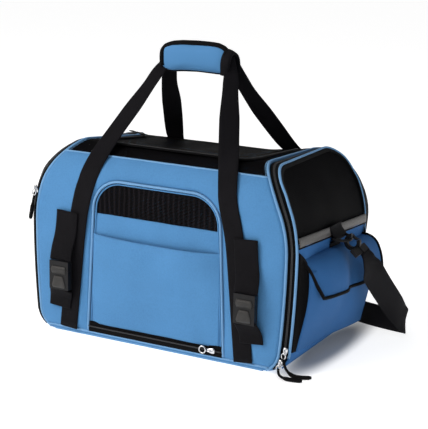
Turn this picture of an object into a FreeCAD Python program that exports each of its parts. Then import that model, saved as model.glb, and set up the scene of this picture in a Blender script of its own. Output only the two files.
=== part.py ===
import FreeCAD, Part
import Sketcher
import math
import os

from FreeCAD import Placement, Rotation, Vector

# Soft-sided pet carrier bag, in millimetres.  The origin is the middle of the underside,
# +X runs along the bag to its right end door, +Y to its back and +Z up.

DIMENSIONS = {
    # the bag's body
    "depth": 266, "height": 300, "corner_radius": 62, "seam_angle": 47,
    "side_reach": 213, "side_height": 175, "shoulder_radius": 165, "flank_radius": 1600,
    "foot_radius": 36, "outline_top": 312,
    "panel_thickness": 3, "mesh_thickness": 1.5, "piping_radius": 1.6, "edge_gap": 2,
    # the soles
    "hem_height": 8, "sill_reach": 12, "board_length": 348, "board_depth": 250, "board_thickness": 4,
    "mat_length": 356, "mat_depth": 246, "mat_thickness": 12, "mat_corner": 18,
    # the zipped band round each end
    "band_proud": 1.5, "band_recess": 2.5, "tape_thickness": 1.5, "ring_half": 2,
    "tape_end": 8, "tape_gap": 0.3, "door_ring_start": 12.8, "door_ring_end": 17.3,
    "door_skin_out": 16.3, "door_mesh_out": 15.5, "door_ring_recess": 6.5, "door_foot": 10,
    "door_band_foot": 27,
    "panel_top": 194, "strip_low": 180, "strip_thickness": 0.6,
    # the arched front pocket
    "arch_half": 113, "arch_low": 20, "arch_side_top": 204, "arch_corner": 46,
    "window_low": 198, "sleeve_half": 104, "sleeve_low": 25, "sleeve_top": 167,
    "sleeve_gap": 6, "sleeve_cloth": 1.5, "arch_piping_radius": 2,
    # handles and belt loops
    "webbing_thickness": 1.6, "handle_webbing": 30, "handle_standoff": 5.3,
    "handle_foot": 152, "handle_seam": 108, "handle_leave": 43, "grip_centre": -5,
    "grip_length": 118, "grip_low": 405, "grip_high": 450, "grip_depth": 24,
    "belt_webbing": 38, "belt_centre": 159, "belt_standoff": 13.5,
    "buckle_width": 34, "buckle_depth": 10,
    # end door pockets
    "cargo_half": 104, "cargo_low": 22, "cargo_top": 148, "cargo_foot_reach": 230,
    "cargo_top_reach": 262, "pocket_cloth": 2, "flap_top": 172, "flap_low": 108,
    "flap_half": 113, "net_half": 92, "net_low": 34, "net_top": 160, "net_reach": 12,
    # rings, hooks and the shoulder strap
    "strap_webbing": 38, "strap_thickness": 2.4, "ring_radius": 20, "ring_wire": 2.25,
    "hook_radius": 10, "hook_wire": 2.75, "cord_diameter": 3.6,
}

doc = FreeCAD.newDocument("pet_carrier")
sheet = doc.addObject("Spreadsheet::Sheet", "dims")
for row, (alias, number) in enumerate(DIMENSIONS.items(), start=1):
    sheet.set(f"A{row}", alias)
    sheet.set(f"B{row}", str(number))
    sheet.setAlias(f"B{row}", alias)
doc.recompute()


class Size:
    """A number together with the spreadsheet expression that gives it."""

    def __init__(self, value, text):
        self.value = value
        self.text = text

    def __add__(self, other):
        other = as_size(other)
        return Size(self.value + other.value, f"({self.text} + {other.text})")

    def __sub__(self, other):
        other = as_size(other)
        return Size(self.value - other.value, f"({self.text} - {other.text})")

    def __mul__(self, other):
        other = as_size(other)
        return Size(self.value * other.value, f"({self.text} * {other.text})")

    def __truediv__(self, other):
        other = as_size(other)
        return Size(self.value / other.value, f"({self.text} / {other.text})")

    def __neg__(self):
        return Size(-self.value, f"(0 - {self.text})")

    def root(self):
        return Size(math.sqrt(self.value), f"sqrt({self.text})")

    def cosine(self):
        return Size(math.cos(math.radians(self.value)), f"cos({self.text} * 1 deg)")

    def sine(self):
        return Size(math.sin(math.radians(self.value)), f"sin({self.text} * 1 deg)")


def as_size(number):
    return number if isinstance(number, Size) else Size(float(number), f"({number})")


def dim(alias):
    return Size(float(DIMENSIONS[alias]), f"dims.{alias}")


subparts = []


def keep(item, label):
    """Names a finished sub-part; its label is also its file's name."""
    item.Label = label
    subparts.append(item)
    return item


# ---------------------------------------------------------------- building blocks

def new_body(name):
    return doc.addObject("PartDesign::Body", name)


def new_sketch(body, role, offset=None):
    """An empty sketch on one of the body's own origin planes, moved off it by an offset."""
    plane = [item for item in body.Origin.OriginFeatures if item.Role == role][0]
    sketch = body.newObject("Sketcher::SketchObject", f"{body.Name}_sketch")
    sketch.AttachmentSupport = [(plane, "")]
    sketch.MapMode = "FlatFace"
    if offset is not None:
        sketch.setExpression("AttachmentOffset.Base.z", as_size(offset).text)
    return sketch


def constrain(sketch, *values):
    return sketch.addConstraint(Sketcher.Constraint(*values))


def sketch_edge(start, end, radius):
    """A line, or an arc of the given radius: counter-clockwise if positive."""
    a = Vector(start[0].value, start[1].value, 0)
    b = Vector(end[0].value, end[1].value, 0)
    if radius is None:
        return Part.LineSegment(a, b)
    if radius.value < 0:
        a, b = b, a
    middle = (a + b) / 2
    half = (b - a).Length / 2
    left = Vector(a.y - b.y, b.x - a.x, 0).normalize()
    reach = math.sqrt(max(radius.value ** 2 - half ** 2, 0))
    centre = middle + left * reach
    angles = [math.atan2(p.y - centre.y, p.x - centre.x) for p in (a, b)]
    circle = Part.Circle(centre, Vector(0, 0, 1), abs(radius.value))
    return Part.ArcOfCircle(circle, angles[0], angles[1])


def trace(sketch, points, radii=None):
    """Closes an outline through the points; radii gives the arc that leaves a point."""
    radii = {number: as_size(radius) for number, radius in (radii or {}).items()}
    points = [(as_size(x), as_size(y)) for x, y in points]
    first = sketch.GeometryCount
    count = len(points)
    starts = []
    for number in range(count):
        radius = radii.get(number)
        sketch.addGeometry(sketch_edge(points[number], points[(number + 1) % count], radius), False)
        starts.append(2 if radius is not None and radius.value < 0 else 1)
    for number in range(count):
        following = (number + 1) % count
        own_end = 3 - starts[number]
        link = ("Coincident", first + number, own_end, first + following, starts[following])
        constrain(sketch, *link)
    for number, (x, y) in enumerate(points):
        for kind, size in (("DistanceX", x), ("DistanceY", y)):
            constraint = constrain(sketch, kind, -1, 1, first + number, starts[number], size.value)
            sketch.setExpression(f"Constraints[{constraint}]", size.text)
    for number, radius in radii.items():
        size = radius if radius.value > 0 else -radius
        constraint = constrain(sketch, "Radius", first + number, size.value)
        sketch.setExpression(f"Constraints[{constraint}]", size.text)


def pad(body, sketch, length):
    """Pads the sketch's outline equally to both sides of the sketch."""
    feature = body.newObject("PartDesign::Pad", f"{body.Name}_pad")
    feature.Profile = sketch
    feature.SideType = "Symmetric"
    feature.setExpression("Length", as_size(length).text)
    return feature


def cut_through(body, sketch, length):
    """Takes the sketch's outline out of the body, equally to both sides of the sketch."""
    feature = body.newObject("PartDesign::Pocket", f"{body.Name}_pocket")
    feature.Profile = sketch
    feature.SideType = "Symmetric"
    feature.setExpression("Length", as_size(length).text)
    return feature


def prism(name, role, points, radii, length, offset=None):
    """A PartDesign body: one outline on an origin plane, padded to both sides of it."""
    body = new_body(name)
    sketch = new_sketch(body, role, offset)
    trace(sketch, points, radii)
    pad(body, sketch, length)
    return body


def rectangle(x0, y0, x1, y1):
    return [(x0, y0), (x1, y0), (x1, y1), (x0, y1)]


def block(name, low, high):
    """A box between two corners, each given as three sizes."""
    item = doc.addObject("Part::Box", name)
    low = [as_size(value) for value in low]
    high = [as_size(value) for value in high]
    for side, letter, a, b in zip(("Length", "Width", "Height"), "xyz", low, high):
        item.setExpression(side, (b - a).text)
        item.setExpression(f"Placement.Base.{letter}", a.text)
    return item


TURNS = {"x": Rotation(Vector(0, 1, 0), 90), "y": Rotation(Vector(1, 0, 0), -90), "z": Rotation()}


def rod(name, start, direction, radius, length):
    """A round bar from a point along +X, +Y or +Z."""
    item = doc.addObject("Part::Cylinder", name)
    item.Placement = Placement(Vector(), TURNS[direction])
    item.setExpression("Radius", as_size(radius).text)
    item.setExpression("Height", as_size(length).text)
    for letter, value in zip("xyz", start):
        item.setExpression(f"Placement.Base.{letter}", as_size(value).text)
    return item


def minus(name, base, tool):
    item = doc.addObject("Part::Cut", name)
    item.Base = base
    item.Tool = tool
    return item


def shared(name, base, tool):
    item = doc.addObject("Part::Common", name)
    item.Base = base
    item.Tool = tool
    return item


def joined(name, pieces):
    item = doc.addObject("Part::MultiFuse", name)
    item.Shapes = pieces
    return item


def mirrored(name, source, normal=Vector(1, 0, 0)):
    item = doc.addObject("Part::Mirroring", name)
    item.Source = source
    item.Base = Vector()
    item.Normal = normal
    return item


def tube(label, points, radius, bend=None):
    """A round tube along straight runs joined by tangent arcs, through hand-set points."""
    points = [Vector(*point) for point in points]
    edges = []
    here = points[0]
    radii = []
    for before, corner, after in zip(points, points[1:], points[2:]):
        arriving = (corner - before).normalize()
        leaving = (after - corner).normalize()
        turn = arriving.getAngle(leaving)
        shorter = min((corner - before).Length, (after - corner).Length)
        arc = bend if bend else 0.45 * shorter / math.tan(turn / 2)
        setback = arc * math.tan(turn / 2)
        entry = corner - arriving * setback
        leave = corner + leaving * setback
        centre = entry + (leaving - arriving * leaving.dot(arriving)).normalize() * arc
        middle = centre + (corner - centre).normalize() * arc
        edges.append(Part.LineSegment(here, entry).toShape())
        edges.append(Part.Arc(entry, middle, leave).toShape())
        here = leave
        radii.append(round(arc, 1))
    edges.append(Part.LineSegment(here, points[-1]).toShape())
    path = Part.Wire(edges)
    start = (points[1] - points[0]).normalize()
    section = Part.Wire([Part.Circle(points[0], start, radius).toShape()])
    item = doc.addObject("Part::Feature", label)
    item.Shape = path.makePipeShell([section], True, False)
    expected = math.pi * radius ** 2 * path.Length
    share = item.Shape.Volume / expected
    print(f"{label}: length {path.Length:.1f}, arcs {radii}, volume ratio {share:.4f}")
    return item


# ---------------------------------------------------------------- the bag's two outlines

half_depth = dim("depth") / 2
corner_y = half_depth - dim("corner_radius")
corner_z = dim("height") - dim("corner_radius")


def cross_section(name, inset, length):
    """The bag seen from its end: upright sides and two round top edges, drawn in by inset."""
    inset = as_size(inset)
    side = half_depth - inset
    top = dim("height") - inset
    points = [(-side, inset), (side, inset), (side, corner_z), (corner_y, top), (-corner_y, top),
              (-side, corner_z)]
    corner = dim("corner_radius") - inset
    return prism(name, "YZ_Plane", points, {2: corner, 4: corner}, length)


def end_curve(shift, low):
    """Corner points of the bag's right end seen from the front, from low upwards."""
    shift = as_size(shift)
    low = as_size(low)
    side_z = dim("side_height")
    flank = dim("flank_radius")
    foot = dim("foot_radius")
    side_x = dim("side_reach") + shift
    flank_x = side_x - flank
    between = flank - foot
    rise = side_z - foot
    foot_x = flank_x + (between * between - rise * rise).root()
    tangent_x = flank_x + (foot_x - flank_x) * flank / between
    tangent_z = side_z - rise * flank / between
    low_drop = foot - low
    low_x = foot_x + (foot * foot - low_drop * low_drop).root()
    shoulder = dim("shoulder_radius")
    top_rise = dim("outline_top") - side_z
    top_x = side_x - shoulder + (shoulder * shoulder - top_rise * top_rise).root()
    return [(low_x, low), (tangent_x, tangent_z), (side_x, side_z), (top_x, dim("outline_top"))]


def end_block(name, shift, low):
    """The right half of the bag's front view, out to its end curve moved by shift."""
    curve = end_curve(shift, low)
    points = [(0, low)] + curve + [(0, dim("outline_top"))]
    radii = {1: dim("foot_radius"), 2: dim("flank_radius"), 3: dim("shoulder_radius")}
    return prism(name, "XZ_Plane", points, radii, dim("depth") + 40)


def full_block(name, shift, low):
    """The whole front view of the bag between its two end curves."""
    right = end_curve(shift, low)
    left = [(-x, z) for x, z in reversed(right)]
    arcs = [dim("foot_radius"), dim("flank_radius"), dim("shoulder_radius")]
    radii = dict(enumerate(arcs))
    radii.update({4 + number: arc for number, arc in enumerate(reversed(arcs))})
    return prism(name, "XZ_Plane", right + left, radii, dim("depth") + 40)


section_length = dim("side_reach") * 2 + 80
sections = {}


def section(inset):
    """The cross-section block for an inset, made once."""
    key = as_size(inset).text
    if key not in sections:
        sections[key] = cross_section(f"section_{len(sections)}", inset, section_length)
    return sections[key]


def end_band(label, insets, shifts, low):
    """A band round the right end: between two cross-sections and two end curves."""
    outer, inner = insets
    near, far = shifts
    skin = minus(f"{label}_skin", section(outer), section(inner))
    far_block = end_block(f"{label}_far", far, low)
    reach = minus(f"{label}_reach", far_block, end_block(f"{label}_near", near, low))
    return shared(label, skin, reach)


def both_ends(item, name):
    """Keeps a right-end piece and its mirror image at the left end."""
    keep(item, f"right_{name}")
    return keep(mirrored(f"left_{name}", item), f"left_{name}")


# ---------------------------------------------------------------- body panels

gap = dim("edge_gap")
panel = dim("panel_thickness")
front_face = -half_depth
hem = dim("hem_height")
shell_block = full_block("shell_block", -gap, 0.0)


def make_soles():
    sill = dim("sill_reach")
    tray_inside = full_block("tray_inside", sill - panel, panel)
    tray = minus("tray", full_block("tray_outside", sill, 0.0), tray_inside)
    edge = half_depth - 4
    limit = block("tray_limit", (-240, -edge, 0), (240, edge, hem - 0.3))
    keep(shared("base_panel", tray, limit), "base_panel")

    for name, size, thickness, low in (
        ("base_board", "board", "board_thickness", panel),
        ("pet_mat", "mat", "mat_thickness", panel + dim("board_thickness")),
    ):
        half_x = dim(f"{size}_length") / 2
        half_y = dim(f"{size}_depth") / 2
        rise = dim(thickness)
        outline = rectangle(-half_x, -half_y, half_x, half_y)
        body = prism(name, "XY_Plane", outline, None, rise, low + rise / 2)
        doc.recompute()
        upright = [f"Edge{number}" for number, edge in enumerate(body.Shape.Edges, start=1)
                   if abs(edge.BoundBox.ZLength - rise.value) < 0.01]
        solid = body.Tip
        rounding = body.newObject("PartDesign::Fillet", f"{name}_corners")
        rounding.Base = (solid, upright)
        rounding.setExpression("Radius", "dims.mat_corner")
        body.Tip = rounding
        keep(body, name)


def side_skin(name, thickness):
    """The front wall as a bent sheet: upright, then round the top edge to the seam."""
    outer = dim("corner_radius")
    inner = outer - thickness
    angle = dim("seam_angle") - 1.6

    def at_seam(radius):
        return (-corner_y - angle.cosine() * radius, corner_z + angle.sine() * radius)

    inside = front_face + thickness
    points = [(front_face, hem), (inside, hem), (inside, corner_z), at_seam(inner), at_seam(outer),
              (front_face, corner_z)]
    return prism(name, "YZ_Plane", points, {2: -inner, 4: outer}, section_length)


def arch_outline(half, low, high, corner):
    """An arch: straight sides and two round top corners."""
    return [(-half, low), (half, low), (half, high - corner), (half - corner, high),
            (corner - half, high), (-half, high - corner)], {2: corner, 4: corner}


def make_front():
    half = dim("arch_half")
    top = dim("arch_side_top") + dim("arch_corner")
    wall = side_skin("front_wall", panel)
    opening = new_sketch(wall, "XZ_Plane", half_depth)
    trace(opening, *arch_outline(half, dim("arch_low"), top, dim("arch_corner")))
    cut_through(wall, opening, panel * 4)
    keep(shared("front_panel", wall, shell_block), "front_panel")

    inside = front_face + dim("mesh_thickness")
    arch = prism("arch_fill", "XZ_Plane", *arch_outline(half, dim("arch_low"), top, dim("arch_corner")),
                 dim("depth") + 40)
    upper = block("window_limit", (-half, front_face, dim("window_low")), (half, inside, top))
    keep(shared("front_window_mesh", arch, upper), "front_window_mesh")
    lower = block("front_lower_panel", (-half, front_face, dim("arch_low")),
                  (half, front_face + panel, dim("window_low")))
    keep(lower, "front_lower_panel")


def make_arch_piping():
    radius = DIMENSIONS["arch_piping_radius"]
    y = -DIMENSIONS["depth"] / 2 - radius - 0.05
    x = DIMENSIONS["arch_half"] + 1
    top = DIMENSIONS["arch_side_top"] + DIMENSIONS["arch_corner"] + 1
    points = [(-x, y, 18), (-x, y, top), (x, y, top), (x, y, 18)]
    keep(tube("arch_piping", points, radius, bend=DIMENSIONS["arch_corner"] + 1), "arch_piping")


def make_sleeve():
    """The open-topped pocket on the front, whose bottom unzips to slide over a luggage handle."""
    half = dim("sleeve_half")
    cloth = dim("sleeve_cloth")
    depth = dim("sleeve_gap") + cloth
    low = dim("sleeve_low")
    high = dim("sleeve_top")
    body = new_body("sleeve_panel")
    outside = new_sketch(body, "XY_Plane", (low + high) / 2)
    face = front_face - depth
    points = [(-half, front_face), (-half, face), (half, face), (half, front_face),
              (half - cloth, front_face), (half - cloth, face + cloth), (cloth - half, face + cloth),
              (cloth - half, front_face)]
    trace(outside, points)
    pad(body, outside, high - low)
    keep(body, "sleeve_panel")

    tape_high = low - 0.4
    tape_low = hem + 3
    tape = block("sleeve_tape", (-half, front_face - 1.2, tape_low), (half, front_face, tape_high))
    coil_z = (tape_high + tape_low) / 2
    reach = half - 4
    coil_low = (-reach, front_face - 2.6, coil_z - 2)
    coil = block("sleeve_zip_coil", coil_low, (reach, front_face - 1.2, coil_z + 2))
    keep(joined("sleeve_zip", [tape, coil]), "sleeve_zip_tape")


def make_back():
    wall = side_skin("back_wall", panel)
    trimmed = shared("back_trimmed", wall, shell_block)
    keep(mirrored("back_panel", trimmed, Vector(0, 1, 0)), "back_panel")


def make_top():
    """The mesh roof between the two top seams."""
    thickness = dim("mesh_thickness")
    outer = dim("corner_radius")
    inner = outer - thickness
    angle = dim("seam_angle") + 1.6
    top = dim("height")

    def at_seam(radius, side):
        across = corner_y + angle.cosine() * radius
        return (across if side > 0 else -across, corner_z + angle.sine() * radius)

    points = [at_seam(outer, 1), (corner_y, top), (-corner_y, top), at_seam(outer, -1), at_seam(inner, -1),
              (-corner_y, top - thickness), (corner_y, top - thickness), at_seam(inner, 1)]
    roof = prism("roof", "YZ_Plane", points, {0: outer, 2: outer, 4: -inner, 6: -inner}, section_length)
    keep(shared("top_mesh", roof, shell_block), "top_mesh")


def make_long_pipings():
    angle = dim("seam_angle")
    radius = dim("piping_radius")
    across = corner_y + angle.cosine() * dim("corner_radius")
    up = corner_z + angle.sine() * dim("corner_radius")
    shoulder = dim("shoulder_radius")
    rise = up + radius - dim("side_height")
    reach = dim("side_reach") - shoulder + (shoulder * shoulder - rise * rise).root() - gap
    low_half = as_size(176)
    low_across = half_depth - radius
    low_up = hem - radius - 0.2
    for name, y, z, half in (("top", across, up, reach), ("bottom", low_across, low_up, low_half)):
        pair = [rod(f"{name}_{side}_piping", (-half, place, z), "x", radius, half * 2)
                for side, place in (("front", -y), ("back", y))]
        keep(joined(f"{name}_pair", pair), f"{name}_pipings")


make_soles()
make_front()
make_arch_piping()
make_sleeve()
make_back()
make_top()
make_long_pipings()


# ---------------------------------------------------------------- ends

def make_end_bands():
    """Piping and zip tapes that run round each end, the door's own clear of its hinge."""
    half = dim("ring_half")
    recess = dim("band_recess")
    tape = recess + dim("tape_thickness")
    inner = dim("door_ring_recess")
    tape_end = dim("tape_end")
    door_start = tape_end + dim("tape_gap")
    foot = dim("door_band_foot")
    both_ends(end_band("shell_piping", (-dim("band_proud"), recess), (-half, half), hem), "shell_piping")
    both_ends(end_band("zip_tape", (recess, tape), (half, tape_end), hem), "zip_tape")
    both_ends(end_band("door_zip_tape", (recess, tape), (door_start, dim("door_ring_start")), foot),
              "door_zip_tape")
    both_ends(end_band("door_piping", (recess, inner), (dim("door_ring_start"), dim("door_ring_end")), foot),
              "door_piping")


def make_doors():
    """Each end door: blue lower panel, mesh upper window, grey reflective strip over their seam."""
    inside = section(dim("door_ring_recess"))
    foot = dim("door_foot")
    outer = dim("door_skin_out")
    wide = half_depth
    join = dim("panel_top")

    def door_layer(name, out, thickness, low, high):
        layer = minus(f"{name}_layer", end_block(f"{name}_out", out, foot),
                      end_block(f"{name}_in", out - thickness, foot))
        zone = block(f"{name}_zone", (100, -wide, low), (260, wide, high))
        return shared(f"{name}_flat", shared(f"{name}_cap", inside, layer), zone)

    both_ends(door_layer("door_panel", outer, panel, 0, join), "door_panel")
    both_ends(door_layer("door_mesh", dim("door_mesh_out"), dim("mesh_thickness"), join, 320), "door_mesh")
    both_ends(door_layer("door_strip", outer + dim("strip_thickness"), dim("strip_thickness"),
                         dim("strip_low"), join), "reflective_strip")


make_end_bands()
make_doors()


# ---------------------------------------------------------------- door pockets

def hollow_pocket(name, outline, inner_outline, half, cloth):
    """A pocket's side profile padded across the bag, hollowed by its inner profile, open behind."""
    body = prism(name, "XZ_Plane", outline, None, half * 2)
    hollow = new_sketch(body, "XZ_Plane")
    trace(hollow, inner_outline)
    cut_through(body, hollow, (half - cloth) * 2)
    doc.recompute()
    return body


def make_cargo_pocket():
    """The hollow pocket on the right door and the flap that folds down over its mouth."""
    cloth = dim("pocket_cloth")
    low = dim("cargo_low")
    top = dim("cargo_top")
    foot_x = dim("cargo_foot_reach")
    top_x = dim("cargo_top_reach")
    half = dim("cargo_half")
    behind = as_size(190)
    outside = [(behind, low), (foot_x, low), (top_x, top), (behind, top)]
    inside = [(behind - 5, low + cloth), (foot_x - cloth, low + cloth), (top_x - cloth, top + 1),
              (behind - 5, top + 1)]
    pocket = hollow_pocket("cargo", outside, inside, half, cloth)
    door_face = end_block("cargo_back", dim("door_skin_out"), dim("door_foot"))
    keep(minus("cargo_open", pocket, door_face), "right_cargo_pocket")

    front = top_x + 4.5
    fold = top + 5.5
    flap_top = dim("flap_top")
    flap_low = dim("flap_low")
    under = front - cloth
    profile = [(220, flap_top), (under, fold - cloth * 0.7), (under, flap_low), (front, flap_low),
               (front, fold), (220, flap_top + cloth * 1.1)]
    flap = prism("flap", "XZ_Plane", profile, None, dim("flap_half") * 2)
    keep(minus("flap_open", flap, door_face), "cargo_flap")


def make_net_pocket():
    """The open-topped mesh pocket on the left door, drawn at the right and mirrored."""
    cloth = dim("mesh_thickness")
    low = dim("net_low")
    top = dim("net_top")
    face = dim("side_reach") + dim("door_skin_out")
    reach = face + dim("net_reach")
    behind = as_size(190)
    outside = [(behind, low), (face, low), (reach, low + 28), (reach, top - 20),
               (face + 8, top), (behind, top)]
    inside = [(behind - 5, low + cloth), (face - 1, low + cloth), (reach - cloth, low + 29),
              (reach - cloth, top - 20), (face + 6, top + 1), (behind - 5, top + 1)]
    net = hollow_pocket("net", outside, inside, dim("net_half"), cloth)
    door_face = end_block("net_back", dim("door_skin_out"), dim("door_foot"))
    open_net = minus("net_open", net, door_face)
    keep(mirrored("net_left", open_net), "left_net_pocket")


make_cargo_pocket()
make_net_pocket()


# ---------------------------------------------------------------- rings, hooks and gates

ring_bar = Vector(235.6, 0, 181)
ring_lean = 5
ring_way = Vector(math.cos(math.radians(ring_lean)), 0, -math.sin(math.radians(ring_lean)))
hook_way = Vector(0.74, 0, -0.673).normalize()
hook_side = Vector(0.673, 0, 0.74).normalize()


def turned(point, way, side, along, across):
    """A point so far along one direction and across another, from a starting point."""
    return point + way * along + side * across


def in_front_view(point):
    return (point.x, point.z)


def make_ring_tabs():
    """The webbing loop sewn on each door that holds the D-ring's straight bar."""
    half = dim("ring_radius") - 1.5
    wire = dim("ring_wire")
    plate = block("tab_plate", (218, -half, ring_bar.z), (231.6, half, 206))
    face = end_block("tab_back", dim("door_skin_out") + dim("strip_thickness"), dim("door_foot"))
    sewn = minus("tab_sewn", plate, face)
    start = (ring_bar.x, -half, ring_bar.z)
    loop = rod("tab_loop", start, "y", wire + 2.2, half * 2)
    bore = rod("tab_bore", start, "y", wire + 0.35, half * 2)
    both_ends(minus("ring_tab", joined("tab_joined", [sewn, loop]), bore), "ring_tab")


def make_d_rings():
    """A round bow closed by a straight bar, hanging out of its tab."""
    radius = dim("ring_radius")
    wire = dim("ring_wire")
    bow = doc.addObject("Part::Torus", "ring_bow")
    bow.setExpression("Radius1", radius.text)
    bow.setExpression("Radius2", wire.text)
    bow.Angle3 = 180
    across = Vector(0, 1, 0)
    bow.Placement = Placement(ring_bar, Rotation(across, ring_way, across.cross(ring_way), "XYZ"))
    bar = rod("ring_straight", (ring_bar.x, -radius, ring_bar.z), "y", wire, radius * 2)
    both_ends(joined("d_ring", [bow, bar]), "d_ring")


def make_hooks():
    """A round hook, its neck and the bar that the strap loops through; the gate is separate."""
    radius = DIMENSIONS["hook_radius"]
    wire = DIMENSIONS["hook_wire"]
    apex = ring_bar + ring_way * DIMENSIONS["ring_radius"]
    centre = apex + hook_way * (radius - wire - DIMENSIONS["ring_wire"] - 0.3)
    outer = radius + wire
    inner = radius - wire

    def around(size, degrees):
        angle = math.radians(degrees)
        along, across = size * math.cos(angle), size * math.sin(angle)
        return in_front_view(turned(centre, -hook_way, hook_side, along, across))

    nose, hinge = 38, 112
    # the open ring runs from the gate's nose over the top and round to the gate's hinge
    outline = [around(outer, nose), around(outer, -71), around(outer, 180), around(outer, hinge),
               around(inner, hinge), around(inner, 180), around(inner, -71), around(inner, nose)]
    arcs = {0: outer, 1: outer, 2: outer, 4: -inner, 5: -inner, 6: -inner}
    body = prism("hook_ring", "XZ_Plane", outline, arcs, wire * 2)
    neck_start = centre + hook_way * (outer - 1)
    neck = doc.addObject("Part::Cylinder", "hook_neck")
    neck.Radius = 4
    neck.Height = 12
    neck.Placement = Placement(neck_start, Rotation(Vector(0, 0, 1), hook_way))
    frame = doc.addObject("Part::Box", "hook_frame")
    frame.Length, frame.Width, frame.Height = 5, DIMENSIONS["strap_webbing"] + 9, 13
    corner = neck_start + hook_way * 11 - hook_side * 2.5 - Vector(0, frame.Width.Value / 2, 0)
    turn = Rotation(hook_side, Vector(0, 1, 0), hook_way, "XYZ")
    frame.Placement = Placement(corner, turn)
    slot = doc.addObject("Part::Box", "hook_slot")
    slot.Length, slot.Width, slot.Height = 7, DIMENSIONS["strap_webbing"] + 1.5, 5
    slot_margin = Vector(0, (frame.Width.Value - slot.Width.Value) / 2, 0)
    slot_corner = corner + hook_way * 4.5 - hook_side + slot_margin
    slot.Placement = Placement(slot_corner, turn)
    frame_open = minus("hook_frame_open", frame, slot)
    both_ends(joined("hook", [body, neck, frame_open]), "snap_hook")

    low = nose + math.degrees(1.8 / radius)
    high = hinge - math.degrees(0.9 / radius)
    gate = prism("gate", "XZ_Plane",
                 [around(outer - 0.5, high), around(inner + 0.5, high), around(inner + 0.5, low),
                  around(outer - 0.5, low)],
                 {1: -(inner + 0.5), 3: outer - 0.5}, wire * 2 - 1)
    both_ends(gate, "hook_gate")
    pivot = around(radius, hinge)
    print(f"gate pivot x {pivot[0]:.2f} z {pivot[1]:.2f}")
    return corner + hook_way * 10.8 + hook_side * 2.5 + Vector(0, frame.Width.Value / 2, 0)


make_ring_tabs()
make_d_rings()
strap_bar = make_hooks()


# ---------------------------------------------------------------- handles and grip

def offset_line(points, distance):
    """A mitred copy of a flat line, moved to its left by distance."""
    points = [Vector(x, y, 0) for x, y in points]
    moved = []
    for number, point in enumerate(points):
        ways = []
        if number > 0:
            ways.append((point - points[number - 1]).normalize())
        if number < len(points) - 1:
            ways.append((points[number + 1] - point).normalize())
        lefts = [Vector(-way.y, way.x, 0) for way in ways]
        middle = sum(lefts, Vector()).normalize()
        moved.append(point + middle * (distance / middle.dot(lefts[0])))
    return [(point.x, point.y) for point in moved]


def make_handles():
    """Each handle is one webbing, up one side of the wall, through the grip and down again."""
    thick = dim("webbing_thickness")
    leave = dim("handle_leave")
    grip_low = dim("grip_low")
    top = dim("grip_high") - 4
    inner = dim("corner_radius") + dim("handle_standoff") - thick / 2
    outer = inner + thick

    def on_arc(radius):
        return (-corner_y - leave.cosine() * radius, corner_z + leave.sine() * radius)

    def up_to(point, y):
        rise = (y - point[0]) / leave.sine() * leave.cosine()
        return (y, point[1] + rise)

    inside = dim("webbing_thickness") * 1.5
    outside = inside + thick
    leave_inner = on_arc(inner)
    leave_outer = on_arc(outer)
    profile = [(-corner_y - outer, hem), (-corner_y - inner, hem), (-corner_y - inner, corner_z), leave_inner,
               up_to(leave_inner, -inside), (-inside, top), (-outside, top), up_to(leave_outer, -outside),
               leave_outer, (-corner_y - outer, corner_z)]
    sheet_body = prism("handle_sheet", "YZ_Plane", profile, {2: -inner, 8: outer}, 500)

    foot = DIMENSIONS["handle_foot"]
    seam = DIMENSIONS["handle_seam"]
    shift = DIMENSIONS["grip_centre"]
    half = DIMENSIONS["handle_webbing"] / 2
    grip = DIMENSIONS["grip_length"] / 2
    across = DIMENSIONS["grip_high"] - 7 - half
    right = [(foot, 0), (foot - 24, 200), (seam + 3, 262), (seam - 12, 310), (shift + grip + 12, across)]
    left = [(-foot, 0), (24 - foot, 200), (-seam - 3, 262), (12 - seam, 310), (shift - grip - 12, across)]
    line = left + right[::-1]
    outline = offset_line(line, half) + offset_line(line, -half)[::-1]
    silhouette = doc.addObject("Part::Feature", "handle_silhouette")
    points = [Vector(x, -200, z) for x, z in outline]
    silhouette.Shape = Part.Face(Part.makePolygon(points + points[:1])).extrude(Vector(0, 400, 0))
    front = keep(shared("handle_front", sheet_body, silhouette), "front_handle_webbing")
    keep(mirrored("handle_back", front, Vector(0, 1, 0)), "back_handle_webbing")


def make_grip():
    """The padded wrap that holds both handles together, open along its middle for the webbing."""
    half_y = dim("grip_depth") / 2
    low = dim("grip_low")
    high = dim("grip_high")
    round_corner = as_size(9)
    corner_y_low = half_y - round_corner
    points = [(-corner_y_low, low), (corner_y_low, low), (half_y, low + round_corner),
              (half_y, high - round_corner), (corner_y_low, high), (-corner_y_low, high),
              (-half_y, high - round_corner), (-half_y, low + round_corner)]
    radii = {1: round_corner, 3: round_corner, 5: round_corner, 7: round_corner}
    body = new_body("grip")
    outline = new_sketch(body, "YZ_Plane", dim("grip_centre"))
    trace(outline, points, radii)
    pad(body, outline, dim("grip_length"))
    slot = new_sketch(body, "YZ_Plane", dim("grip_centre"))
    trace(slot, rectangle(-4.6, low + 4, 4.6, high - 3.5))
    cut_through(body, slot, dim("grip_length") + 10)
    keep(body, "handle_grip")


make_handles()
make_grip()


# ---------------------------------------------------------------- seat belt loops

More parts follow.
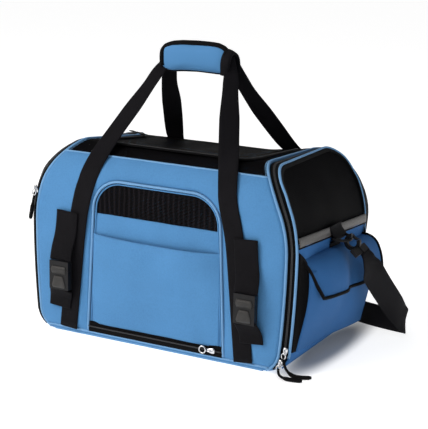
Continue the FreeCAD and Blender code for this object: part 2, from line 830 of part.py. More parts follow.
def make_belt_loops():
    """Beside each front handle: a webbing loop with a side-release buckle, for a seat belt."""
    thick = dim("webbing_thickness")
    centre = dim("belt_centre")
    half = dim("belt_webbing") / 2
    sewn = front_face - dim("handle_standoff") - thick / 2 - 0.3
    proud = front_face - dim("belt_standoff") - 2
    buckle_low, buckle_join, buckle_high = 74, 104, 119

    def strap(name, points):
        back = [(y + thick, z) for y, z in reversed(points)]
        body = new_body(name)
        sketch = new_sketch(body, "YZ_Plane", centre)
        trace(sketch, points + back)
        pad(body, sketch, half * 2)
        both_ends(body, name)

    face = proud - thick
    low_face = sewn - thick
    strap("belt_strap_upper", [(low_face, 196), (low_face, 184), (face, 150), (face, buckle_high + 0.3)])
    strap("belt_strap_lower", [(face, buckle_low - 0.3), (face, 66), (low_face, 50), (low_face, 42)])

    half_x = dim("buckle_width") / 2
    half_y = dim("buckle_depth") / 2
    middle = proud - thick / 2

    def part(name, wide, deep, low, high):
        return block(name, (centre - wide, middle - deep, low), (centre + wide, middle + deep, high))

    case = part("socket_case", half_x, half_y, buckle_low, buckle_join)
    cavity = part("socket_cavity", half_x - 4, half_y - 2, buckle_low + 4, buckle_join + 1)
    both_ends(minus("socket", case, cavity), "buckle_socket")
    base = part("prong_base", half_x, half_y, buckle_join + 0.4, buckle_high)
    prongs = part("prong_fork", half_x - 4.6, half_y - 2.5, buckle_low + 5, buckle_join + 1)
    notch = part("prong_notch", half_x - 9, half_y, buckle_low + 4, buckle_join - 4)
    both_ends(minus("prongs", joined("prong_body", [base, prongs]), notch), "buckle_prongs")


make_belt_loops()


# ---------------------------------------------------------------- zips

def slider(name, centre, length, width, depth, way):
    """A zip slider: a tapered plate with a low bridge, its long side along way, its face at -Y."""
    body = new_body(name)
    sketch = new_sketch(body, "XZ_Plane", -as_size(centre[1]))
    half = length / 2
    outline = [(-half, -width * 0.3), (-half * 0.2, -width / 2), (half, -width / 2), (half, width / 2),
               (-half * 0.2, width / 2), (-half, width * 0.3)]
    if way == "z":
        outline = [(-across, along) for along, across in outline]
    trace(sketch, [(centre[0] + x, centre[2] + z) for x, z in outline])
    pad(body, sketch, depth)
    return body


def make_zips():
    coil_z = 17.8
    slider_y = -DIMENSIONS["depth"] / 2 - 4.3
    slider_x, slider_length = 98, 13
    body = slider("sleeve_slider", (slider_x, slider_y, coil_z), slider_length, 9, 2.8, "x")
    keep(body, "sleeve_zip_slider")
    ring = doc.addObject("Part::Torus", "sleeve_pull")
    ring.Radius1 = 5.2
    ring.Radius2 = 1.0
    ring_x = slider_x - slider_length / 2 - ring.Radius1.Value - ring.Radius2.Value - 0.3
    ring.Placement = Placement(Vector(ring_x, slider_y - 1.6, coil_z), Rotation(Vector(1, 0, 0), 90))
    keep(ring, "sleeve_zip_ring")

    track_y = -DIMENSIONS["depth"] / 2 + 1.0
    places = [(215, 38), (211, 16), (-215, 222)]
    group = [slider(f"end_slider_{number}", (x, track_y, z), 14, 8, 3, "z")
             for number, (x, z) in enumerate(places)]
    keep(joined("end_sliders", group), "end_zip_sliders")


def make_top_zip():
    """The roof opening's zip: a tape along the front and both sides, with its slider at the back left."""
    out_x, front, back, wide = 140, -92, 66, 12
    skin = minus("top_zip_skin", section(-1.2), section(0.0))
    outer = block("top_zip_outer", (-out_x, front, 200), (out_x, back, 320))
    inner = block("top_zip_inner", (wide - out_x, front + wide, 190), (out_x - wide, back + 5, 330))
    keep(shared("top_zip", skin, minus("top_zip_path", outer, inner)), "top_zip_tape")
    place = (wide / 2 - out_x, 52)
    outline = [(-2.4, 7), (-4, 1.4), (-4, -7), (4, -7), (4, 1.4), (2.4, 7)]
    body = new_body("top_slider")
    sketch = new_sketch(body, "XY_Plane", dim("height") + 3)
    trace(sketch, [(place[0] + x, place[1] + y) for x, y in outline])
    pad(body, sketch, 3)
    keep(body, "top_zip_slider")


make_zips()
make_top_zip()


# ---------------------------------------------------------------- shoulder strap and zip pulls

def flat_run(label, start, end, across, width, thickness):
    """A straight flat stretch of webbing between two points; across gives its width's direction."""
    way = (end - start)
    length = way.Length
    way = way.normalize()
    across = (across - way * across.dot(way)).normalize()
    face = way.cross(across)
    item = doc.addObject("Part::Box", label)
    item.Length = length
    item.Width = width
    item.Height = thickness
    corner = start - across * (width / 2) - face * (thickness / 2)
    item.Placement = Placement(corner, Rotation(way, across, face, "XYZ"))
    return item


def make_shoulder_strap():
    """From the right hook down to the floor, along the floor behind the bag and up to the left hook."""
    width = DIMENSIONS["strap_webbing"]
    thickness = DIMENSIONS["strap_thickness"]
    fold = Vector(291, 145, 15)
    across = Vector(-0.62, -0.5, -0.606)
    keep(flat_run("strap_right", strap_bar, fold, across, width, thickness), "strap_right_run")

    route = [(300, 152), (258, 160), (206, 172), (120, 178), (20, 174), (-80, 178), (-170, 174),
             (-229.6, 174)]
    outline = offset_line(route, width / 2) + offset_line(route, -width / 2)[::-1]
    floor_run = doc.addObject("Part::Feature", "strap_floor")
    points = [Vector(x, y, 0) for x, y in outline]
    floor_run.Shape = Part.Face(Part.makePolygon(points + points[:1])).extrude(Vector(0, 0, thickness))
    keep(floor_run, "strap_floor_run")

    frame = block("adjuster_frame", (-262, 150, 0), (-230, 198, 5))
    slots = joined("adjuster_slots", [block("slot_a", (-240, 154, -1), (-235, 194, 6)),
                                      block("slot_b", (-257, 154, -1), (-252, 194, 6))])
    keep(minus("adjuster", frame, slots), "strap_adjuster")

    left_bar = Vector(-strap_bar.x, strap_bar.y, strap_bar.z)
    rise = Vector(-270, 150, 12)
    keep(flat_run("strap_left", rise, left_bar, Vector(1, 0.4, 0), width, thickness), "strap_left_run")


def make_zip_pulls():
    """Cord pulls: two lie on the floor at the right front corner, one hangs at the left end."""
    radius = DIMENSIONS["cord_diameter"] / 2
    floor = radius + 0.1
    y = -DIMENSIONS["depth"] / 2 - 2.4
    routes = [
        [(215, y, 33), (217, y - 4, 24), (224, y - 6, 10), (238, y - 4, floor), (256, -126, floor)],
        [(208, y, 10), (210, y - 6, 5), (218, y - 12, floor), (233, -150, floor), (250, -145, floor)],
        [(-215, y, 217), (-217, y - 1.5, 206), (-219, y - 1, 192), (-221, y - 1.5, 174)],
    ]
    pulls = [tube(f"zip_pull_{number}", route, radius) for number, route in enumerate(routes, start=1)]
    keep(joined("pulls", pulls), "zip_pulls")


make_shoulder_strap()
make_zip_pulls()

doc.recompute()
os.makedirs("parts", exist_ok=True)
for item in doc.Objects:
    if "Invalid" in item.State or "Error" in item.State:
        raise RuntimeError(f"{item.Label} did not build: {item.State}")
for item in subparts:
    if item.Shape.isNull() or not item.Shape.isValid():
        raise RuntimeError(f"{item.Label} is not a valid solid")
    item.Shape.exportStep(f"parts/{item.Label}.step")
    box = item.Shape.BoundBox
    reach = (f"{axis} {getattr(box, axis.upper() + 'Min'):.1f} {getattr(box, axis.upper() + 'Max'):.1f}"
             for axis in "xyz")
    print(f"{item.Label}: {len(item.Shape.Solids)} solids, {item.Shape.Volume:.0f} mm3, {', '.join(reach)}")
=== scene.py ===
"""The looks of the pet carrier bag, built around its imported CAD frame.

Metres, +X along the bag to its cargo-pocket end, +Y to its back, +Z up.
"""

import math

import bmesh
import bpy
import numpy as np
from mathutils import Matrix, Vector, noise


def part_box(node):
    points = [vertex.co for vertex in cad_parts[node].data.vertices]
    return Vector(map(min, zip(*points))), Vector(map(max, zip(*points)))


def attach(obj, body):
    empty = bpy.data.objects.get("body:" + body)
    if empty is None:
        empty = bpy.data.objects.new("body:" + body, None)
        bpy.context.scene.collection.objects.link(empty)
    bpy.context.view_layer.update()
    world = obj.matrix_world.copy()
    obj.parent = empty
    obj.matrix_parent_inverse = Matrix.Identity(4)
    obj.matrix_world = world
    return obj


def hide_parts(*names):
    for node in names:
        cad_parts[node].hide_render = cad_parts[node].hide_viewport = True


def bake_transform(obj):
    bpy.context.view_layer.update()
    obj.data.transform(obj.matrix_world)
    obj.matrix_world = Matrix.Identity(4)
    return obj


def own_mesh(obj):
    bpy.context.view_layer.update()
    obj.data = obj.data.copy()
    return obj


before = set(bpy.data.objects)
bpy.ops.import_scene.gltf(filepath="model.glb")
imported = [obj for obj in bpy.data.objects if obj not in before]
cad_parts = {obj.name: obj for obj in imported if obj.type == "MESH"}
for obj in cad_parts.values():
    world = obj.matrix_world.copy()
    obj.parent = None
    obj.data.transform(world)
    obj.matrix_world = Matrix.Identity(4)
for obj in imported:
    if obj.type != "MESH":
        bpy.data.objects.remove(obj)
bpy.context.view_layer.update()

# ---------------------------------------------------------------- driving sizes

HALF_DEPTH = -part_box("front_panel")[0].y
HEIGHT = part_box("top_mesh")[1].z
CORNER = 0.062
SEAM_ANGLE = math.radians(47)
SIDE_X, SIDE_Z = 0.213, 0.175
SHOULDER, FLANK, FOOT = 0.165, 1.6, 0.036
WALL_TOP = HEIGHT - CORNER
ROOF_START = WALL_TOP + CORNER * math.pi / 2
HALF_GIRTH = ROOF_START + HALF_DEPTH - CORNER
SEAM = WALL_TOP + CORNER * SEAM_ANGLE
HEM = 0.0095
SEAM_RECESS = 0.0015
ENDS = {"right": 1.0, "left": -1.0}

ARCH_LOW, ARCH_TOP, ARCH_CORNER = 0.0115, 0.2515, 0.047
ARCH_FOOT_HALF, ARCH_TAPER = 0.118, 0.05
WINDOW_LOW = 0.1965

# ---------------------------------------------------------------- camera and light

CAMERA_AZIMUTH = math.radians(27.72)
CAMERA_ELEVATION = math.radians(14.14)
CAMERA_ROLL = math.radians(1.322)
CAMERA_DISTANCE = 2.0896
CAMERA_TARGET = Vector((0.02708, -0.00105, 0.18606))
LENS, SENSOR = 112.95, 36.0

LIGHTS = (
    # name, azimuth, elevation, distance, size, power, colour
    ("key", -42, 40, 2.4, 1.3, 41, (1.0, 0.95, 0.91)),
    ("fill", -12, 14, 3.0, 1.8, 9, (1, 1, 1)),
    ("top", -20, 78, 2.4, 1.6, 8, (1, 1, 1)),
    ("side", 84, 24, 2.6, 1.4, 2.5, (0.2, 0.55, 1.0)),
)
HORIZON, ZENITH = (0.04, 1.0), (0.14, 0.22)
# The painted shadow in the floor's glow at the bag's right end: its centre, its squeeze across, and
# (distance, glow) at its core and its edge.
SHADE_CENTRE = (0.220, 0.020)
SHADE_SQUEEZE = 0.20
SHADE_CORE, SHADE_EDGE = (0.016, 0.06), (0.046, 0.82)


def toward(azimuth, elevation):
    """The direction from the target to a viewer at that azimuth, 0 in front, and elevation."""
    flat = math.cos(elevation)
    return Vector((math.sin(azimuth) * flat, -math.cos(azimuth) * flat, math.sin(elevation)))


def place(name, data, back, distance, roll=0.0):
    """Puts a camera or light at a distance from the target, facing it, rolled anticlockwise."""
    right = (-back).cross(Vector((0, 0, 1))).normalized()
    up = back.cross(right)
    turned_right = right * math.cos(roll) + up * math.sin(roll)
    turned_up = up * math.cos(roll) - right * math.sin(roll)
    rotation = Matrix((turned_right, turned_up, back)).transposed()
    obj = bpy.data.objects.new(name, data)
    obj.matrix_world = Matrix.Translation(CAMERA_TARGET + back * distance) @ rotation.to_4x4()
    bpy.context.scene.collection.objects.link(obj)
    return obj


def make_camera():
    data = bpy.data.cameras.new("camera")
    data.lens = LENS
    data.sensor_width = SENSOR
    back = toward(CAMERA_AZIMUTH, CAMERA_ELEVATION)
    bpy.context.scene.camera = place("camera", data, back, CAMERA_DISTANCE, CAMERA_ROLL)


def make_light():
    """Four soft lamps, and a white sky that is bright at the horizon and dim above."""
    world = bpy.data.worlds.new("studio")
    look = Look(world, "Generated")
    height = look.node("SeparateXYZ", {0: look.source}).outputs["Z"]
    sky = {"Color": (1.0, 1.0, 1.0, 1.0), "Strength": look.mapped(height, HORIZON, ZENITH)}
    look.fill(look.tree.nodes["Background"], sky)
    bpy.context.scene.world = world
    bpy.context.scene.view_settings.view_transform = "Standard"
    for name, azimuth, elevation, distance, size, power, colour in LIGHTS:
        data = bpy.data.lights.new(name, "AREA")
        data.shape = "DISK"
        data.size = size
        data.energy = power
        data.color = colour
        place(name, data, toward(math.radians(azimuth), math.radians(elevation)), distance)


def make_floor():
    """A wide pale floor that glows white as in a studio, with a painted shadow where its glow dims at the
    bag's right end.
    """
    rings = [[Vector((radius * math.cos(a), radius * math.sin(a), 0)) for a in spread(0, math.tau, 48)]
             for radius in (0.01, 1.0, 3.0, 9.0, 40.0)]
    floor = add_grid("studio_floor", rings)
    look = Look(bpy.data.materials.new("studio_white"), "Object")
    squeeze = look.node("VectorMath", {0: look.source, 1: (1.0, SHADE_SQUEEZE, 1.0)}, operation="MULTIPLY")
    centre = (SHADE_CENTRE[0], SHADE_CENTRE[1] * SHADE_SQUEEZE, 0.0)
    reach = look.node("VectorMath", {0: squeeze.outputs["Vector"], 1: centre}, operation="DISTANCE")
    # The glow dims near the bag's right end: a painted shadow.
    glow = look.mapped(reach.outputs["Value"], SHADE_CORE, SHADE_EDGE, interpolation_type="SMOOTHSTEP")
    floor.data.materials.append(look.finished({"Base Color": (0.62, 0.62, 0.62, 1), "Roughness": 0.9,
                                               "Emission Color": (1, 1, 1, 1), "Emission Strength": glow}))


# ---------------------------------------------------------------- materials

BLUE = (0.074, 0.236, 0.480)
# A darker blue for the cloth of the bag's ends: painted shade for the shade that the right end lies in. The
# cloth is the same as BLUE's.
SHADED_END_BLUE = (0.034, 0.155, 0.410)
PIPING_BLUE = (0.150, 0.335, 0.585)
BLACK = (0.0022, 0.0020, 0.0026)
WEBBING_BLACK = (0.0042, 0.0037, 0.0054)
PLASTIC_BLACK = (0.0050, 0.0050, 0.0058)
# A lighter grey-black for the buckles' face plates: a painted highlight for the light that the buckles' faces
# reflect.
PAINTED_HIGHLIGHT_BLACK = (0.030, 0.029, 0.028)
COIL_BLACK = (0.02, 0.02, 0.022)
REFLECTIVE_GREY = (0.130, 0.122, 0.115)
NICKEL = (0.720, 0.720, 0.730)
FLEECE = (0.420, 0.400, 0.370)
LINING = (0.060, 0.062, 0.068)

MESH_PITCH = 0.0021
WAVE_PERIOD = math.tau / 20


def tinted(colour, amount):
    return tuple(channel * amount for channel in colour)


def grey(level):
    return (level, level, level)


class Look:
    """The node tree of a material or a world, with short ways to build it."""

    def __init__(self, owner, coordinates):
        self.owner = owner
        owner.use_nodes = True
        self.tree = owner.node_tree
        self.source = self.node("TexCoord").outputs[coordinates]
        self.normal = None

    def node(self, kind, inputs=None, **settings):
        """Adds a node. Each of its inputs is given a value or another node's output."""
        made = self.tree.nodes.new(f"ShaderNode{kind}")
        for key, value in settings.items():
            setattr(made, key, value)
        self.fill(made, inputs or {})
        return made

    def fill(self, item, inputs):
        for key, value in inputs.items():
            if isinstance(value, bpy.types.NodeSocket):
                self.tree.links.new(value, item.inputs[key])
            else:
                item.inputs[key].default_value = value

    def mapped(self, value, start, finish, **settings):
        """Takes value from one pair of (value, result) to another."""
        inputs = {"Value": value, "From Min": start[0], "From Max": finish[0], "To Min": start[1],
                  "To Max": finish[1]}
        return self.node("MapRange", inputs, **settings).outputs["Result"]

    def waves(self, periods, distortion=0.0):
        """Sine bands of these periods in metres along X, Y and Z, averaged; a period of 0 is left out."""
        bands = [self.node("TexWave", {"Scale": WAVE_PERIOD / period, "Distortion": distortion, "Detail": 1.0,
                                       "Vector": self.source}, bands_direction=axis).outputs["Fac"]
                 for axis, period in zip("XYZ", periods) if period]
        total = bands[0]
        for band in bands[1:]:
            total = self.node("Math", {0: total, 1: band}, operation="ADD").outputs[0]
        return self.node("Math", {0: total, 1: len(bands)}, operation="DIVIDE").outputs[0]

    def blotches(self, scale, detail=3.0):
        return self.node("TexNoise", {"Scale": scale, "Detail": detail, "Vector": self.source}).outputs["Fac"]

    def shade(self, factor, dark, light, low=0.3, high=0.7):
        """A colour between dark and light as factor goes from low to high."""
        ramp = self.node("ValToRGB", {"Fac": factor})
        first, last = ramp.color_ramp.elements
        first.position, first.color = low, (*dark, 1)
        last.position, last.color = high, (*light, 1)
        return ramp.outputs["Color"]

    def product(self, base, *others):
        for other in others:
            mix = self.node("Mix", data_type="RGBA", blend_type="MULTIPLY")
            self.fill(mix, {"Factor": 1.0, "A": base, "B": other})
            base = mix.outputs["Result"]
        return base

    def bump(self, height, distance, strength):
        """Adds relief on top of any there already is."""
        inputs = {"Distance": distance, "Strength": strength, "Height": height}
        if self.normal:
            inputs["Normal"] = self.normal
        self.normal = self.node("Bump", inputs).outputs["Normal"]

    def finished(self, values):
        """The material, with these values and the relief on its shader."""
        if self.normal:
            values["Normal"] = self.normal
        self.fill(self.tree.nodes["Principled BSDF"], values)
        return self.owner


def cloth_material(name, colour, plane="UV", roughness=0.78, thread=0.0009, variation=0.07, sheen=0.05,
                   depth=0.00018):
    """Plain-woven cloth: crossing threads, faint blotches of tone, and a soft sheen.

    plane names the two axes that the threads run along, or UV where the piece's UVs are in metres.
    """
    look = Look(bpy.data.materials.new(name), "UV" if plane == "UV" else "Object")
    axes = "XY" if plane == "UV" else plane
    weave = look.waves([thread if axis in axes else 0 for axis in "XYZ"], 0.6)
    base = look.shade(look.blotches(11.0), tinted(colour, 1 - variation), tinted(colour, 1 + variation))
    threads = look.shade(weave, grey(0.86), grey(1), 0.15, 0.6)
    specks = look.shade(look.blotches(420.0, 2.0), grey(0.93), grey(1), 0.3, 0.6)
    look.bump(look.blotches(55.0, 2.0), 0.0012, 0.35)
    look.bump(weave, depth, 0.8)
    return look.finished({"Base Color": look.product(base, threads, specks), "Roughness": roughness,
                          "Sheen Weight": sheen, "Sheen Roughness": 0.45, "Specular IOR Level": 0.22})


def webbing_material(name, colour, rib=0.0016, roughness=0.66):
    """Ribbed webbing: ribs across the strap and a finer thread along it."""
    look = Look(bpy.data.materials.new(name), "UV")
    ribs = look.waves((0, rib, 0), 0.4)
    threads = look.waves((rib * 0.9, 0, 0), 1.2)
    base = look.shade(look.blotches(26.0), tinted(colour, 0.85), tinted(colour, 1.25))
    grooves = look.shade(ribs, grey(0.55), grey(1.1), 0.1, 0.7)
    crossing = look.shade(threads, grey(0.8), grey(1), 0.1, 0.7)
    look.bump(threads, 0.0002, 0.5)
    look.bump(ribs, 0.0004, 0.8)
    return look.finished({"Base Color": look.product(base, grooves, crossing), "Roughness": roughness,
                          "Sheen Weight": 0.02, "Sheen Roughness": 0.4, "Specular IOR Level": 0.08})


def mesh_material(name, periods, opening=0.30, rib=0.0):
    """Knitted black mesh in the plane of two axes: rows of small holes that let the light through."""
    look = Look(bpy.data.materials.new(name), "Object")
    cells = look.waves(periods)
    hole = look.node("Math", {0: cells, 1: opening}, operation="GREATER_THAN").outputs[0]
    base = look.shade(look.blotches(14.0), tinted(BLACK, 0.8), tinted(BLACK, 1.4))
    if rib:
        stripes = look.shade(look.waves((rib, 0, 0), 1.5), grey(1), (4.2, 3.9, 3.7), 0.55, 1.0)
        base = look.product(base, stripes)
    look.bump(cells, 0.0005, 0.7)
    return look.finished({"Base Color": base, "Alpha": hole, "Roughness": 0.6, "Specular IOR Level": 0.035})


def coil_material(name, tooth=0.0013):
    """A zip's coil: close turns across it, with a slight gloss."""
    look = Look(bpy.data.materials.new(name), "UV")
    teeth = look.waves((0, tooth, 0))
    base = look.shade(teeth, tinted(COIL_BLACK, 0.4), tinted(COIL_BLACK, 1.6), 0.2, 0.7)
    look.bump(teeth, 0.0006, 0.9)
    return look.finished({"Base Color": base, "Roughness": 0.38})


def plastic_material(name, colour, roughness=0.42):
    """Moulded plastic: fine grain, slight gloss and a little wear in its tone."""
    look = Look(bpy.data.materials.new(name), "Object")
    tone = look.blotches(60.0)
    look.bump(look.blotches(1600.0, 2.0), 0.00012, 0.5)
    return look.finished({"Base Color": look.shade(tone, tinted(colour, 0.85), tinted(colour, 1.3)),
                          "Roughness": look.mapped(tone, (0, roughness - 0.08), (1, roughness + 0.12)),
                          "Specular IOR Level": 0.22})


def metal_material(name, colour):
    """Nickel plating: bright, with fine scuffs and duller patches."""
    look = Look(bpy.data.materials.new(name), "Object")
    tone = look.blotches(320.0)
    look.bump(look.blotches(900.0), 0.0001, 0.3)
    return look.finished({"Base Color": look.shade(tone, tinted(colour, 0.75), tinted(colour, 1.1)),
                          "Roughness": look.mapped(tone, (0, 0.16), (1, 0.38)), "Metallic": 1.0})


def make_materials():
    return {
        "blue": cloth_material("blue_oxford_cloth", BLUE),
        "blue_wall": cloth_material("blue_oxford_wall", BLUE, "XZ"),
        # The ends' cloth, in the darker blue of painted shade.
        "blue_end_painted_shade": cloth_material("blue_oxford_end_painted_shade", SHADED_END_BLUE, "YZ", sheen=0.0),
        # The cargo pocket's cloth, darker still: painted shade on the pocket and its flap.
        "blue_pocket_painted_shade": cloth_material("blue_oxford_pocket_painted_shade", tinted(SHADED_END_BLUE, 0.85), sheen=0.0),
        "piping": cloth_material("blue_piping_cloth", PIPING_BLUE, "UV", 0.6, 0.0008, 0.08, 0.1, 0.00012),
        "binding": webbing_material("black_binding", BLACK, 0.0011),
        "webbing": webbing_material("black_webbing", WEBBING_BLACK),
        "tape": webbing_material("black_zip_tape", BLACK, 0.0010, 0.7),
        "coil": coil_material("black_zip_coil"),
        "front_mesh": mesh_material("mesh_front", (MESH_PITCH, 0, MESH_PITCH), 0.20, 0.0085),
        "end_mesh": mesh_material("mesh_end", (0, MESH_PITCH, MESH_PITCH), 0.22),
        "roof_mesh": mesh_material("mesh_roof", (MESH_PITCH, MESH_PITCH, 0)),
        "plastic": plastic_material("black_plastic", PLASTIC_BLACK),
        "cord": webbing_material("black_cord", BLACK, 0.0009, 0.5),
        # The buckles' face plates: lighter grey plastic that is a painted highlight.
        "plate": plastic_material("black_plastic_painted_highlight", PAINTED_HIGHLIGHT_BLACK, 0.5),
        "metal": metal_material("nickel", NICKEL),
        "reflective": cloth_material("grey_reflective_tape", REFLECTIVE_GREY, "UV", 0.42, 0.0007, 0.08, 0.1,
                                     0.0001),
        "fleece": cloth_material("fleece", FLEECE, "XY", 0.95, 0.0030, 0.12, 0.6, 0.0012),
        "board": cloth_material("board_cover", LINING, "XY", 0.9, 0.0012),
    }


# ---------------------------------------------------------------- mesh building


def spread(start, end, count):
    return [start + (end - start) * i / count for i in range(count + 1)]


def add_object(name, vertices, faces, face_uvs):
    data = bpy.data.meshes.new(name)
    data.from_pydata([tuple(v) for v in vertices], [], faces)
    layer = data.uv_layers.new(name="UVMap")
    layer.data.foreach_set("uv", [value for face in face_uvs for uv in face for value in uv])
    data.polygons.foreach_set("use_smooth", [True] * len(data.polygons))
    data.update()
    obj = bpy.data.objects.new(name, data)
    bpy.context.scene.collection.objects.link(obj)
    return obj


def distances(points):
    """Length along a row of points, at each of them."""
    total = [0.0]
    for before, after in zip(points, points[1:]):
        total.append(total[-1] + (Vector(after) - Vector(before)).length)
    return total


def add_grid(name, rows):
    """An open sheet through rows of points, its UVs in metres."""
    wide = len(rows[0])
    along = distances([row[wide // 2] for row in rows])
    across = distances(rows[len(rows) // 2])
    faces, uvs = [], []
    for i in range(len(rows) - 1):
        for j in range(wide - 1):
            faces.append((i * wide + j, i * wide + j + 1, (i + 1) * wide + j + 1, (i + 1) * wide + j))
            uvs.append([(across[j], along[i]), (across[j + 1], along[i]),
                        (across[j + 1], along[i + 1]), (across[j], along[i + 1])])
    return add_object(name, [point for row in rows for point in row], faces, uvs)


def rework(obj, change):
    """Passes the object's mesh through one of bmesh's operations."""
    work = bmesh.new()
    work.from_mesh(obj.data)
    change(work)
    work.to_mesh(obj.data)
    work.free()
    return obj


def weld(obj):
    """Joins the vertices that lie on each other, as where a sheet closes on itself."""
    return rework(obj, lambda work: bmesh.ops.remove_doubles(work, verts=work.verts, dist=1e-6))


def add_loft(name, rings, closed_path=False):
    """A closed skin through rings of points, with its two ends filled unless the path is closed."""
    wide = len(rings[0])
    count = len(rings)
    path = [sum((Vector(p) for p in ring), Vector()) / wide for ring in rings]
    along = distances(path + path[:1] if closed_path else path)
    middle = rings[count // 2]
    across = distances([*middle, middle[0]])
    faces, uvs = [], []
    for i in range(count if closed_path else count - 1):
        after = (i + 1) % count
        for j in range(wide):
            beside = (j + 1) % wide
            faces.append((i * wide + j, i * wide + beside, after * wide + beside, after * wide + j))
            uvs.append([(across[j], along[i]), (across[j + 1], along[i]),
                        (across[j + 1], along[i + 1]), (across[j], along[i + 1])])
    if not closed_path:
        ends = ((0, range(wide)[::-1], along[0]), ((count - 1) * wide, range(wide), along[-1]))
        for first, order, height in ends:
            faces.append(tuple(first + j for j in order))
            uvs.append([(across[j], height) for j in order])
    obj = add_object(name, [point for ring in rings for point in ring], faces, uvs)
    return rework(obj, lambda work: bmesh.ops.recalc_face_normals(work, faces=work.faces))


def settle(obj):
    """Applies the object's modifiers to its mesh."""
    depsgraph = bpy.context.evaluated_depsgraph_get()
    final = bpy.data.meshes.new_from_object(obj.evaluated_get(depsgraph))
    obj.modifiers.clear()
    obj.data = final
    return obj


def thicken(obj, thickness, offset=-1.0):
    modifier = obj.modifiers.new("thickness", "SOLIDIFY")
    modifier.thickness = thickness
    modifier.offset = offset
    modifier.use_even_offset = False
    return settle(obj)


def add_sheet(name, rows, thickness, offset=-1.0):
    return thicken(add_grid(name, rows), thickness, offset)


def table(point, downs, acrosses):
    """Rows of points, from a function of one step down and one across."""
    return [[point(down, across) for across in acrosses] for down in downs]


def join(name, pieces):
    """One object of several meshes, each keeping its own material."""
    with bpy.context.temp_override(active_object=pieces[0], selected_editable_objects=pieces):
        bpy.ops.object.join()
    pieces[0].name = name
    pieces[0].data.name = name
    return pieces[0]


def coat(obj, key):
    obj.data.materials.clear()
    obj.data.materials.append(MATERIALS[key])
    return obj


def finish_piece(obj, body, slot, *nodes):
    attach(obj, body)
    if nodes:
        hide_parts(*nodes)
    return obj


def nurbs_line(route, step=8):
    """The smooth line that a route of given points guides, as points read from its NURBS spline."""
    data = bpy.data.curves.new("route", "CURVE")
    data.dimensions = "3D"
    spline = data.splines.new("NURBS")
    spline.points.add(len(route) - 1)
    for point, at in zip(spline.points, route):
        point.co = (*at, 1)
    spline.order_u = 3
    spline.use_endpoint_u = True
    spline.resolution_u = step
    holder = bpy.data.objects.new("route", data)
    line = bpy.data.meshes.new_from_object(holder)
    points = [vertex.co.copy() for vertex in line.vertices]
    bpy.data.objects.remove(holder)
    bpy.data.curves.remove(data)
    bpy.data.meshes.remove(line)
    return points


def tangents(points, closed=False):
    count = len(points)
    found = []
    for i in range(count):
        before = points[i - 1] if i or closed else points[0]
        after = points[(i + 1) % count] if i < count - 1 or closed else points[-1]
        found.append((after - before).normalized())
    return found


def turn(count):
    """Angles evenly round a circle."""
    return [math.tau * k / count for k in range(count)]


def add_tube(name, points, radius, sides=10, closed=False):
    """A round tube along a line; radius is one number or a function of the share of its length."""
    ways = tangents(points, closed)
    along = distances(points)
    side = ways[0].orthogonal().normalized()
    rings = []
    for point, way, distance in zip(points, ways, along):
        side = (side - way * side.dot(way)).normalized()
        other = way.cross(side)
        size = radius(distance / along[-1]) if callable(radius) else radius
        rings.append([point + (side * math.cos(a) + other * math.sin(a)) * size for a in turn(sides)])
    return add_loft(name, rings, closed)


def keyed(keys, share):
    """The value at share between keys of (share, value), eased from one to the next."""
    if share <= keys[0][0]:
        return keys[0][1]
    for (start, first), (end, second) in zip(keys, keys[1:]):
        if share <= end:
            t = smooth(start, end, share)
            return first * (1 - t) + second * t
    return keys[-1][1]


def add_ribbon(name, route, across, width, thickness, crown=0.0):
    """A flat strap along a route. across and width are one value, or keys of (share of the length, value)."""
    points = nurbs_line(route)
    ways = tangents(points)
    along = distances(points)
    columns = (-1.0, -0.92, -0.6, -0.2, 0.2, 0.6, 0.92, 1.0)
    if not isinstance(width, list):
        width = [(0.0, width)]
    if not isinstance(across, list):
        across = [(0.0, across)]
    across = [(share, Vector(side)) for share, side in across]
    rings = []
    for point, way, distance in zip(points, ways, along):
        share = distance / along[-1]
        side = keyed(across, share)
        side = (side - way * side.dot(way)).normalized()
        up = side.cross(way)
        half = keyed(width, share) / 2
        ring = []
        for sign, order in ((1, columns), (-1, columns[::-1])):
            for column in order:
                edge = 0.35 if abs(column) == 1.0 else 1.0
                lift = crown * (1 - column * column) + sign * edge * thickness / 2
                ring.append(point + side * half * column + up * lift)
        rings.append(ring)
    return add_loft(name, rings)


def wrinkle(point, size, depth, seed=0.0):
    """A smooth random height at a point, for cloth that isn't quite flat."""
    return noise.noise(Vector(point) / size + Vector((seed, seed * 0.7, -seed))) * depth


def smooth(low, high, value):
    t = min(max((value - low) / (high - low), 0.0), 1.0)
    return t * t * (3 - 2 * t)


def swell(*gaps):
    """0 on a seam, rising to 1 where the nearest seam's gap is 1."""
    return math.sin(max(min(*gaps, 1.0), 0.0) * math.pi / 2)


def rounded_ring(middle, half, corner, radius, z, steps):
    """A level ring round a box with corners turned at a depth of corner, as round as radius."""
    ring = []
    for side_x, side_y, start in ((1, -1, -90), (1, 1, 0), (-1, 1, 90), (-1, -1, 180)):
        for degrees in spread(start, start + 90, steps):
            angle = math.radians(degrees)
            ring.append(Vector((middle[0] + side_x * (half[0] - corner) + radius * math.cos(angle),
                                middle[1] + side_y * (half[1] - corner) + radius * math.sin(angle), z)))
    return ring


# ---------------------------------------------------------------- the shell's form


def section_point(s, inset=0.0):
    """(y, z) at distance s along the bag's outline seen from its end, from the front's foot over the roof."""
    side = -1.0
    if s > HALF_GIRTH:
        s = 2 * HALF_GIRTH - s
        side = 1.0
    if s < WALL_TOP:
        return side * (HALF_DEPTH - inset), s
    angle = (s - WALL_TOP) / CORNER
    if angle < math.pi / 2:
        radius = CORNER - inset
        return side * (HALF_DEPTH - CORNER + radius * math.cos(angle)), WALL_TOP + radius * math.sin(angle)
    return side * (HALF_GIRTH - s), HEIGHT - inset


